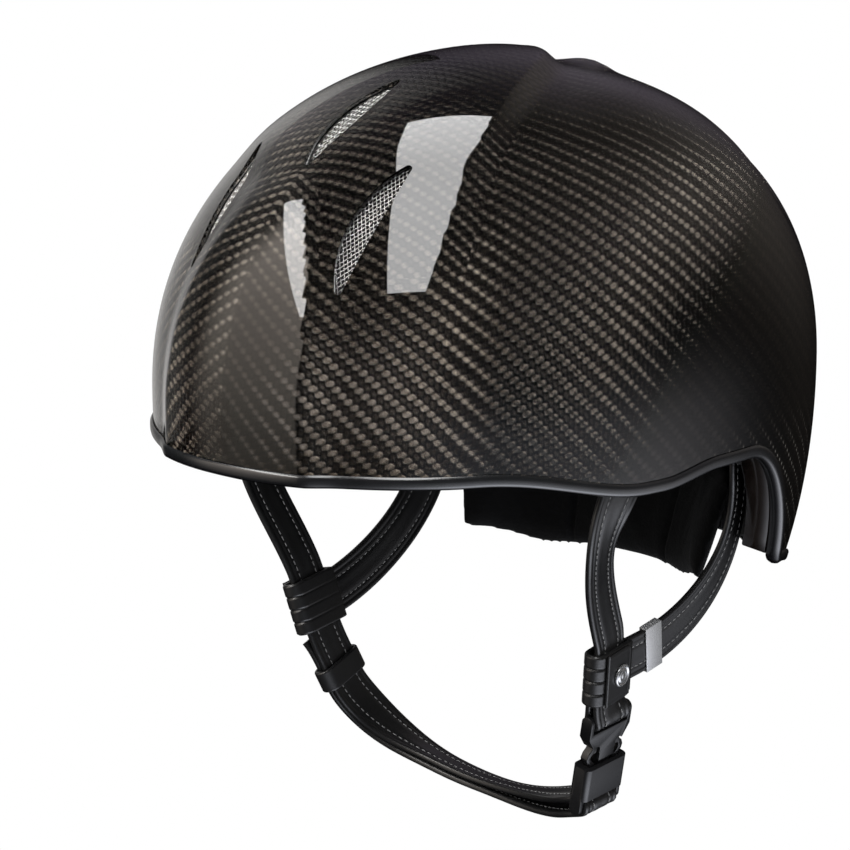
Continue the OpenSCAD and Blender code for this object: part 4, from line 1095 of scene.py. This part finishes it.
def chin_strap():
    """Two layers from the keeper, under the chin, round the socket's bar and back to a free end."""
    keeper = KEEPER.mirrored()
    start = keeper.place
    lead = start - keeper.up * 8
    bar = BUCKLE.at(0, 0, SOCKET_BAR_Z)
    arrive = BUCKLE.out * math.cos(math.radians(30)) + BUCKLE.up * math.sin(math.radians(30))
    end = bar - arrive * 6
    dip, rise = lead - keeper.up * 42 + (0, 12, 0), end - arrive * 38 + (0, 12, -6)
    middle = [start, lead] + curve(lead, dip, rise, end, 13) + [bar]
    last = len(middle) - 1
    faces, gaps = [], []
    for i in range(last + 1):
        along = unit(middle[min(i + 1, last)] - middle[max(i - 1, 0)])
        share = min(max((i - 1) / (last - 2), 0), 1)
        first = keeper.back + (UNDER_CHIN - keeper.back) * smooth(share / 0.4)
        faces.append(unit(np.cross(first + (BUCKLE.back - first) * smooth((share - 0.6) / 0.4), along)))
        gaps.append(LAYER + (WRAP_R - LAYER) * smooth((i - 0.55 * last) / (0.35 * last)))
    going = [m - f * g for m, f, g in zip(middle, faces, gaps)]
    coming = [m + f * g for m, f, g in zip(middle, faces, gaps)][::-1]
    turns = [arrive * math.sin(a) - faces[-1] * math.cos(a) for a in map(math.radians, range(30, 151, 30))]
    tab = [start + keeper.up * s + keeper.out * (LAYER + o) for s, o in ((9, 0), (14, 0.6), (17, 1.6))]
    made, lines = strap("chin_strap_leather", going + [bar + t * WRAP_R for t in turns] + coming + tab,
                        [-f for f in faces] + turns + faces[::-1] + [keeper.out] * 3, False)
    for each in (made, stitched("chin_strap_stitches", lines)):
        tuple(seated(start - (0, 0, 12)))
        tuple(seated(end))
        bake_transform(each)
    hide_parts("chin_strap")


harness()
chin_strap()
ring_piece("edge_trim_rubber", "trim_rubber", "edge_trim", trim_profile)
ring_piece("gloss_band_ring", "gloss_band", "inner_edge_band", band_profile)


# ---- loops, flaps, snaps and keeper
def to_frame(lean, points):
    points = np.asarray(points, float)
    return lean.place + points[:, :1] * lean.out + points[:, 1:2] * lean.back + points[:, 2:] * lean.up


def sleeve_ring(half_t, reach_y, square_back, grow):
    """A sleeve's outline in a front and a rear half, counter-clockwise from the front."""
    r = half_t + grow
    turns = np.linspace(math.pi / 2, -math.pi / 2, 18)
    front = [(-math.sin(a) * r, -reach_y + half_t - math.cos(a) * r) for a in turns]
    if square_back:
        e, end = 0.7, reach_y + grow
        back = [(r, end - e), (r - 0.25 * e, end - 0.25 * e), (r - e, end),
                (-r + e, end), (-r + 0.25 * e, end - 0.25 * e), (-r, end - e)]
    else:
        back = [(math.sin(a) * r, reach_y - half_t + math.cos(a) * r) for a in turns]
    return front, back


def sleeve(name, lean, height, square_back, ribs, body, node):
    """A leather sleeve whose front fold is pressed into ribs."""
    room_x, room_y = LAYER + STRAP_T / 2 + SLIP, LOOP_REACH - LOOP_WALL
    rows, edge, rib_depth, rib_w, rib_front, rib_fade = 85, 0.7, 0.5, 0.4, 7.5, 5.5
    sections = []
    for i in range(rows):
        z = -height / 2 + height * i / (rows - 1)
        ease = edge * (1 - math.sqrt(max(0, 1 - max(0, 1 - (height / 2 - abs(z)) / edge) ** 2)))
        front, back = sleeve_ring(LOOP_HALF_T, LOOP_REACH, square_back, -ease)
        beat = abs((ribs * (z / height + 0.5) + 0.5) % 1 - 0.5) * height / ribs if ribs else 9
        rib = rib_depth * bell(beat / rib_w)
        if 0 < i < rows - 1 and ribs:
            press = [smooth((-LOOP_REACH + rib_front - y) / rib_fade) * rib for x, y in front]
            front = [(x * (1 - 0.13 * k), y + k) for (x, y), k in zip(front, press)]
        sections.append([(x, y, z) for x, y in front + back])
    lower, upper = ([(max(-room_x, min(room_x, x * 0.8)), max(-room_y, min(room_y, y * 0.93)), z)
                     for x, y, _ in sections[rows // 2]] for z in (-height / 2, height / 2))
    points, faces = sweep([lower] + sections + [upper], True)
    fitted(closed_piece(name, to_frame(lean, points), faces, "grain_leather", 50), body, "leather", node)


def flap(name, lean, body, node):
    """The loop's flap: a soft leather tab that rolls over at its front edge."""
    x0, front, back, half = LOOP_HALF_T + SLIP, -LOOP_REACH + LOOP_HALF_T, 8.5, LOOP_H / 2
    steps_y, steps_z, edge, corner_r, groove_in, groove_depth = 26, 30, 0.7, 2.2, 1.7, 0.16
    top, low = [], []
    for i in range(steps_y + 1):
        y = front + (back - front) * i / steps_y
        for j in range(steps_z + 1):
            z = -half + 2 * half * j / steps_z
            near = min(half - abs(z), back - y)
            round_off = max(0, 1 - near / edge) ** 2 * edge / 2
            corner = math.hypot(max(0, y - back + corner_r), max(0, abs(z) - half + corner_r)) - corner_r
            pull = max(0, corner) * 0.7
            groove = groove_depth * bell((near - groove_in) / 0.4)
            top.append((x0 + FLAP_T - round_off - groove, y - pull, z - math.copysign(pull, z)))
            low.append((x0 + 0.06 + round_off, y - pull, z - math.copysign(pull, z)))
    points = np.array(top + low)
    n, w = len(top), steps_z + 1
    faces = []
    for i in range(steps_y):
        for j in range(steps_z):
            a = i * w + j
            faces += [(a, a + 1, a + w + 1, a + w), (n + a + w, n + a + w + 1, n + a + 1, n + a)]
    border = [i * w for i in range(steps_y + 1)] + [steps_y * w + j for j in range(1, w)]
    border += [i * w + w - 1 for i in range(steps_y - 1, -1, -1)] + list(range(w - 2, 0, -1))
    for i, a in enumerate(border):
        b = border[(i + 1) % len(border)]
        faces.append((a, b, n + b, n + a))
    roll = [(x0 + FLAP_T / 2 + FLAP_T / 2 * math.cos(a) * 1.02, front + FLAP_T / 2 * math.sin(a) * 1.02)
            for a in around(16)]
    tube = sweep([[(x, y, z) for x, y in roll] for z in (-half, -half + 0.2, half - 0.2, half)])
    points, faces = join((points, faces), tube)
    fitted(closed_piece(name, to_frame(lean, points), faces, "grain_leather", 50), body, "leather", node)


def snap_cap(name, lean, body, node):
    """A turned cap: a rolled rim, a shallow ring and a domed middle."""
    x0 = LOOP_HALF_T + SLIP + FLAP_T
    profile = [(3.9, 0), (4.35, 0.1), (4.5, 0.45), (4.4, 0.85), (4.05, 1.1), (3.65, 1.05), (3.35, 0.75),
               (3.1, 0.62), (2.9, 0.68), (2.75, 0.95), (2.3, 1.15), (1.75, 1.12), (1.45, 0.98), (1.2, 1.05),
               (0.8, 1.22)]
    points, faces = sweep([[(x0 + x, 1.5 + r * math.cos(a), r * math.sin(a)) for a in around(48)]
                           for r, x in profile])
    fitted(closed_piece(name, to_frame(lean, points), faces, "dark_chrome", 70), body, "dark_chrome", node)


for side, lean in (("left", LEFT_LOOP), ("right", RIGHT_LOOP.mirrored())):
    sleeve(side + "_divider_leather", lean, LOOP_H, True, 4, "helmet", side + "_divider_loop")
    flap(side + "_flap_leather", lean, side + "_flap", side + "_loop_flap")
    snap_cap(side + "_snap_cap_turned", lean, side + "_flap", side + "_snap_cap")
sleeve("strap_keeper_leather", KEEPER.mirrored(), 9, False, 0, "keeper", "strap_keeper")

close_up(refined("tag_clip", "brushed_steel", 0.15, "helmet", "steel"), 0.45, 0.3)
for node, bevel, body in (("buckle_plug", 0.9, "helmet"), ("buckle_socket", 1.3, "socket"),
                          ("front_prong", 0.6, "front_prong_body"), ("rear_prong", 0.6, "rear_prong_body")):
    refined(node, "buckle_plastic", bevel, body, "buckle_plastic")
for material, nodes in (("bead_foam", ("impact_liner", "crown_liner")),
                        ("brushed_steel", ("strap_anchor_plates", "strap_rivets")),
                        ("dark_chrome", ("left_snap_stud", "right_snap_stud"))):
    for node in nodes:
        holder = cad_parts[node]
        holder.data.materials.clear()
        holder.data.materials.append(FINISH[material])


# ---- vent meshes
def vent_mesh(which):
    """Woven diamond wire that follows the shell under its slot, on a flat border."""
    vent = VENTS[which]
    lines = []
    pitch, slope, depth, half_t, reach = 1.65, 1.675, 2.5, 0.3, 12
    count = int(60 / pitch)
    line = np.linspace(-reach, reach, 73)
    for way in (1, -1):
        for k in range(-count, count + 1):
            a = line
            c = (k * pitch + way * a) * slope
            keep = vent_outside(vent, a, c, 0.6) < 0
            if np.count_nonzero(keep) < 3:
                continue
            a, c = a[keep], c[keep]
            p = on_skin_along(vent, np.stack([a, c], -1), depth)
            weave = np.cos(2 * math.pi * a / pitch) * 0.2 * way
            lines.append(p + vent_frame(vent)[3] * weave[:, None])
    made = along_lines(which + "_vent_wires", lines, "wires", "vent_wire", Wire_radius=0.15)
    sides = [on_skin_along(vent, vent_loop(vent, margin), deep) for margin, deep in (
        (0.8, depth - half_t), (0.8, depth + half_t), (0.1, depth + half_t), (0.1, depth - half_t))]
    points, faces = sweep(list(np.stack(sides, 1)), True)
    border = face_outwards(mesh_object(which + "_vent_border", points, faces, "vent_wire", False))
    fitted(made, "helmet", "vent_wire", which + "_vent_mesh")
    fitted(border, "helmet", "vent_wire")


for which in VENTS:
    vent_mesh(which)


# ---- pads
# The pads' voxels in mm, how far a point may swell, and the least height over the liner
PAD_VOXEL, PAD_SWELL, PAD_LOW = 1.6, 5, 0.35


def swollen(made):
    """Blows a pad up as cloth under light pressure, with a cap on how far any point moves."""
    even = made.modifiers.new("even", "REMESH")
    even.mode, even.voxel_size, even.use_smooth_shade = "VOXEL", PAD_VOXEL / 1000, True
    calm = made.modifiers.new("calm", "SMOOTH")
    calm.factor, calm.iterations = 0.5, 14
    baked(made)
    rest = corners(made.data)
    cloth = made.modifiers.new("swell", "CLOTH")
    cloth.settings.use_pressure, cloth.settings.uniform_pressure_force = True, 4
    cloth.settings.effector_weights.gravity = 0
    cloth.settings.quality = 4
    cloth.collision_settings.use_collision = False
    scene = bpy.context.scene
    for step in range(1, 21):
        scene.frame_set(step)
    graph = bpy.context.evaluated_depsgraph_get()
    move = corners(made.evaluated_get(graph).data) - rest
    made.modifiers.clear()
    scene.frame_set(1)
    size = np.linalg.norm(move, axis=1, keepdims=True)
    move *= np.minimum(1, PAD_SWELL / 1000 / np.maximum(size, 1e-9))
    move_corners(made.data, rest + move)
    fine = made.modifiers.new("fine", "SUBSURF")
    fine.levels = fine.render_levels = 1
    baked(made)


def pressed(made, high, seams):
    """Keeps a pad between the liner and its own full height, and sinks its seams."""
    p = corners(made.data) * 1000 + (0, 0, SEAT_Z)
    q, n, deep = foot_on_dome(p)
    phi, tau = angles_of(q)
    floor = liner_depth(phi, tau)
    over = deep - floor
    over = over - seams(phi, p) * smooth((over - PAD_LOW - 1) / 2)
    over = np.clip(over, PAD_LOW, high)
    move_corners(made.data, seated(q - n * (floor + over)[:, None]))
    dress(made.data, "knit_felt")
    calm = made.modifiers.new("calm", "SMOOTH")
    calm.factor, calm.iterations = 0.5, 8
    baked(made)


def pad(node, shape, high, seams):
    """A felt pad from its points and faces, its full height and the depth of its seams."""
    made = face_outwards(mesh_object(node + "_soft", *shape, "knit_felt"))
    swollen(made)
    pressed(made, high, seams)
    fitted(made, "helmet", "felt", node)


def headband():
    columns, low_z, high_z = 120, 42, 74
    profile = [(1, 0), (0, 0), (0.02, 0.5), (0.12, 0.86), (0.3, 1), (0.7, 1), (0.88, 0.86), (0.98, 0.5)]
    sections = [[on_liner(i * 360 / columns, low_z + (high_z - low_z) * s, np.array(5.2 * h)) for s, h in profile]
                for i in range(columns)]

    def seams(phi, p):
        channel = np.abs((phi / 22.5 + 0.5) % 1 - 0.5) * 22.5 * 2
        edge = np.minimum(np.abs(p[:, 2] - (low_z + 4.5)), np.abs(p[:, 2] - (high_z - 4.5)))
        return 2.2 * bell(channel / 1.3) + 1.2 * bell(edge / 1.1)
    pad("headband_pad", sweep(sections, True), 7.2, seams)


def crown():
    columns, rows, low_tau, edge, full = 48, 10, 62, 0.6, 5.4
    phi = np.arange(columns) * 360 / columns
    outer, inner = [], []
    for j in range(rows):
        tau = low_tau + (90 - low_tau) * j / rows
        out = (90 - tau) / (90 - low_tau)
        depth = liner_depth(phi, np.full(columns, tau)) + PAD_GAP
        outer.append(under(phi, tau, depth))
        inner.append(under(phi, tau, depth + (edge + (full - edge) * math.sqrt(max(1 - out ** 5, 0)))))
    middle = liner_depth(0.0, 90.0) + PAD_GAP
    tops = [under(0.0, 90.0, depth)[None] for depth in (middle, middle + full)]
    points = np.concatenate(outer + inner + tops)
    n = columns * rows
    faces = []
    for j in range(rows - 1):
        for i in range(columns):
            a, b = j * columns + i, j * columns + (i + 1) % columns
            faces += [(a, b, b + columns, a + columns), (n + a + columns, n + b + columns, n + b, n + a)]
    for i in range(columns):
        a, b = (rows - 1) * columns + i, (rows - 1) * columns + (i + 1) % columns
        faces += [(a, b, 2 * n), (n + b, n + a, 2 * n + 1)]
        a, b = i, (i + 1) % columns
        faces.append((b, a, n + a, n + b))

    def seams(phi, p):
        away = np.hypot(p[:, 0], p[:, 1])
        line = np.abs((phi / 45 + 0.5) % 1 - 0.5) * np.radians(45) * away
        return 2.2 * bell(line / 1.4) * smooth((away - 14) / 4) + 1.8 * bell((away - 15) / 1.3)
    pad("crown_pad", (points, faces), 6.9, seams)


def neck():
    steps, half_turn, top_z, hang, lift = 64, 52.2, -4, 23, 10
    profile = [(1, 0), (0, 0), (0.02, 0.5), (0.08, 0.8), (0.2, 0.92), (0.55, 1), (0.85, 0.9), (0.98, 0.5)]

    def low_edge(turn):
        return NAPE_Z - hang + lift * smooth((np.abs(turn) - 0.45) / 0.55)
    sections = []
    for i in range(steps + 1):
        turn = -1 + 2 * i / steps
        full = 8.2 * (0.6 + 0.4 * smooth((1 - abs(turn)) / 0.08))
        low = low_edge(turn)
        sections.append([on_liner(180 + half_turn * turn, low + (top_z - low) * s, np.array(full * h))
                         for s, h in profile])

    def seams(phi, p):
        turn = ((phi % 360) - 180) / half_turn
        hem = p[:, 2] - low_edge(turn) - 5.0
        channel = (np.abs(turn) - 0.34) * 90
        return 2.0 * bell(hem / 1.2) + 2.4 * bell(channel / 1.6)
    pad("neck_pad", sweep(sections), 9.8, seams)


headband()
crown()
neck()


# ---- studio
# The buckle and its strap come down by 14 mm when it is undone, and stay above the floor
FLOOR_DROP, FLOOR_R = 0.02, 12.0
# Lights of the room, each with its turn from the brow, its rise, its sharpness and its tone
LOBES = ((-150, 22, 26, (0.12, 0.105, 0.135)), (-118, 20, 26, (0.08, 0.07, 0.09)),
         (172, 24, 10, (0.2, 0.18, 0.16)), (140, 30, 12, (0.08, 0.07, 0.065)),
         (70, -48, 14, (3.0, 3.1, 3.4)), (115, -48, 14, (3.0, 3.1, 3.4)),
         (124, -20, 30, (0.4, 0.38, 0.38)), (20, 35, 3, (0.012, 0.011, 0.011)))
STRIP_HEIGHT, STRIP_GLOW, CARD_FAR, CARD_LOW = 1.0, 8.0, 2.0, 0.05
# The photograph's side and focal length in pixels, and the place in it of the point TARGET_Z mm over the datum
PHOTO_SIDE, FOCAL_PX, TARGET_U, TARGET_V, TARGET_Z = 850, 4190.5, 486.8, 329.1, 60
# The camera's turn from the brow, its rise and its distance, as fitted to the rim and the silhouette
CAMERA_TURN, CAMERA_RISE, CAMERA_FAR, SENSOR_W = 41.32, 12.22, 1.6, 36


def overhead_strip(name, along, aside, wide, turn):
    """A level strip light above the helmet. along is its reach behind it and towards the camera's side."""
    t, tall = math.radians(turn), along[1] - along[0]
    light = bpy.data.lights.new(name, "AREA")
    light.shape, light.size, light.size_y = "RECTANGLE", wide, tall
    light.energy = STRIP_GLOW * math.pi * wide * tall
    made = placed(name, light)
    made.visible_camera = False
    to_camera, to_right = Vector((math.sin(t), -math.cos(t), 0)), Vector((math.cos(t), math.sin(t), 0))
    made.location = to_camera * (sum(along) / 2) + to_right * aside + Vector((0, 0, STRIP_HEIGHT))
    made.rotation_euler = (0, 0, t)


def soft_card(name, turns, rises, radiance, tone, fade):
    """A glowing card over a range of turns from the brow and of rises, in degrees, as the helmet sees it.

    fade gives the share of the width over which each side comes up, and how fast the card dims downward."""
    def surface(b):
        u, v, _ = b.parts(b.node("ShaderNodeTexCoord", out="UV"))
        left, right = b.clamped(u, fade[0]), b.clamped(1 - u, fade[1])
        glow = left * left * (3 - left * 2) * right * v ** fade[2]
        colour = b.vector_math("SCALE", {0: tone, "Scale": glow})
        return b.node("ShaderNodeEmission", None, {"Color": colour, "Strength": radiance})
    points = []
    for turn, rise in ((turns[0], rises[0]), (turns[1], rises[0]), (turns[1], rises[1]), (turns[0], rises[1])):
        t = math.radians(turn)
        away = CARD_FAR / math.cos(t - math.radians(sum(turns) / 2))
        points.append((away * math.sin(t), -away * math.cos(t),
                       CARD_FAR * math.tan(math.radians(rise)) - CARD_LOW))
    mesh = bpy.data.meshes.new(name)
    mesh.from_pydata(points, [], [(0, 1, 2, 3)])
    mesh.uv_layers.new(name="across_and_up").data.foreach_set("uv", [0, 0, 1, 0, 1, 1, 0, 1])
    mesh.materials.append(surfaced(name, surface))
    made = placed(name, mesh)
    made.visible_camera = made.visible_diffuse = False
    made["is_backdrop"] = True


def pale_floor(b):
    """A white glow on a face's upper side, and nothing on its under side."""
    under_side = b.node("ShaderNodeNewGeometry", out="Backfacing")
    glow = b.node("ShaderNodeEmission", None, {"Color": (1, 1, 1), "Strength": 1.0})
    return b.mixed(under_side, glow, b.node("ShaderNodeBsdfTransparent"))


def studio():
    scene = bpy.context.scene
    scene.view_settings.view_transform = "Standard"
    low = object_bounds()[0].z - FLOOR_DROP
    mesh = bpy.data.meshes.new("floor")
    ring = [(FLOOR_R * math.cos(a), FLOOR_R * math.sin(a), low) for a in around(48)]
    mesh.from_pydata(ring, [], [tuple(range(48))])
    mesh.materials.append(surfaced("pale_floor", pale_floor))
    floor = placed("floor", mesh)
    floor.visible_glossy = floor.visible_diffuse = False
    floor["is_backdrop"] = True

    scene.world = bpy.data.worlds.new("studio")
    b = cleared(scene.world)
    path = b.node("ShaderNodeLightPath").socket.node
    seen, shiny = Wire(b, path.outputs["Is Camera Ray"]), Wire(b, path.outputs["Is Glossy Ray"])
    way = b.node("ShaderNodeTexCoord", out="Generated")
    total = b.lobe(way, *LOBES[0])
    for lobe in LOBES[1:]:
        total = b.vector_math("ADD", {0: total, 1: b.lobe(way, *lobe)})
    room, soft, white = (b.node("ShaderNodeBackground", None, {"Color": colour, "Strength": strength})
                         for colour, strength in ((total, 1.0), ((0.95, 0.97, 1), 0.5), ((1, 1, 1), 1.0)))
    b.node("ShaderNodeOutputWorld", None, {"Surface": b.mixed(seen, b.mixed(shiny, soft, room), white)})

    overhead_strip("key_strip", (-0.41, 1.35), 0.0075, 0.42, 36.9)
    overhead_strip("second_strip", (0.1, 1.9), -0.84, 0.4, 20)
    soft_card("warm_panel", (-63, -2), (-30, 53), 3.4, (1, 0.9, 0.8), (0.32, 0.02, 1.0))
    soft_card("left_card", (-135, -88), (-22, 22), 0.5, (1, 0.98, 0.96), (0.3, 0.6, 0))


def camera():
    """Aims through the middle of the photograph's frame, from the distance that was fitted."""
    turn, rise = math.radians(CAMERA_TURN), math.radians(CAMERA_RISE)
    back = Vector((math.sin(turn) * math.cos(rise), -math.cos(turn) * math.cos(rise), math.sin(rise)))
    right = Vector((math.cos(turn), math.sin(turn), 0))
    aside, above = (PHOTO_SIDE / 2 - TARGET_U) / FOCAL_PX, (PHOTO_SIDE / 2 - TARGET_V) / FOCAL_PX
    view = -back + right * aside - back.cross(right) * above
    lens = bpy.data.cameras.new("camera")
    lens.sensor_width, lens.sensor_fit, lens.lens = SENSOR_W, "HORIZONTAL", FOCAL_PX / PHOTO_SIDE * SENSOR_W
    lens.clip_start, lens.clip_end = 0.05, 60
    made = placed("camera", lens)
    made.location = Vector((0, 0, (TARGET_Z - SEAT_Z) / 1000)) + back * CAMERA_FAR
    made.rotation_euler = view.to_track_quat("-Z", "Y").to_euler()
    bpy.context.scene.camera = made


studio()
camera()
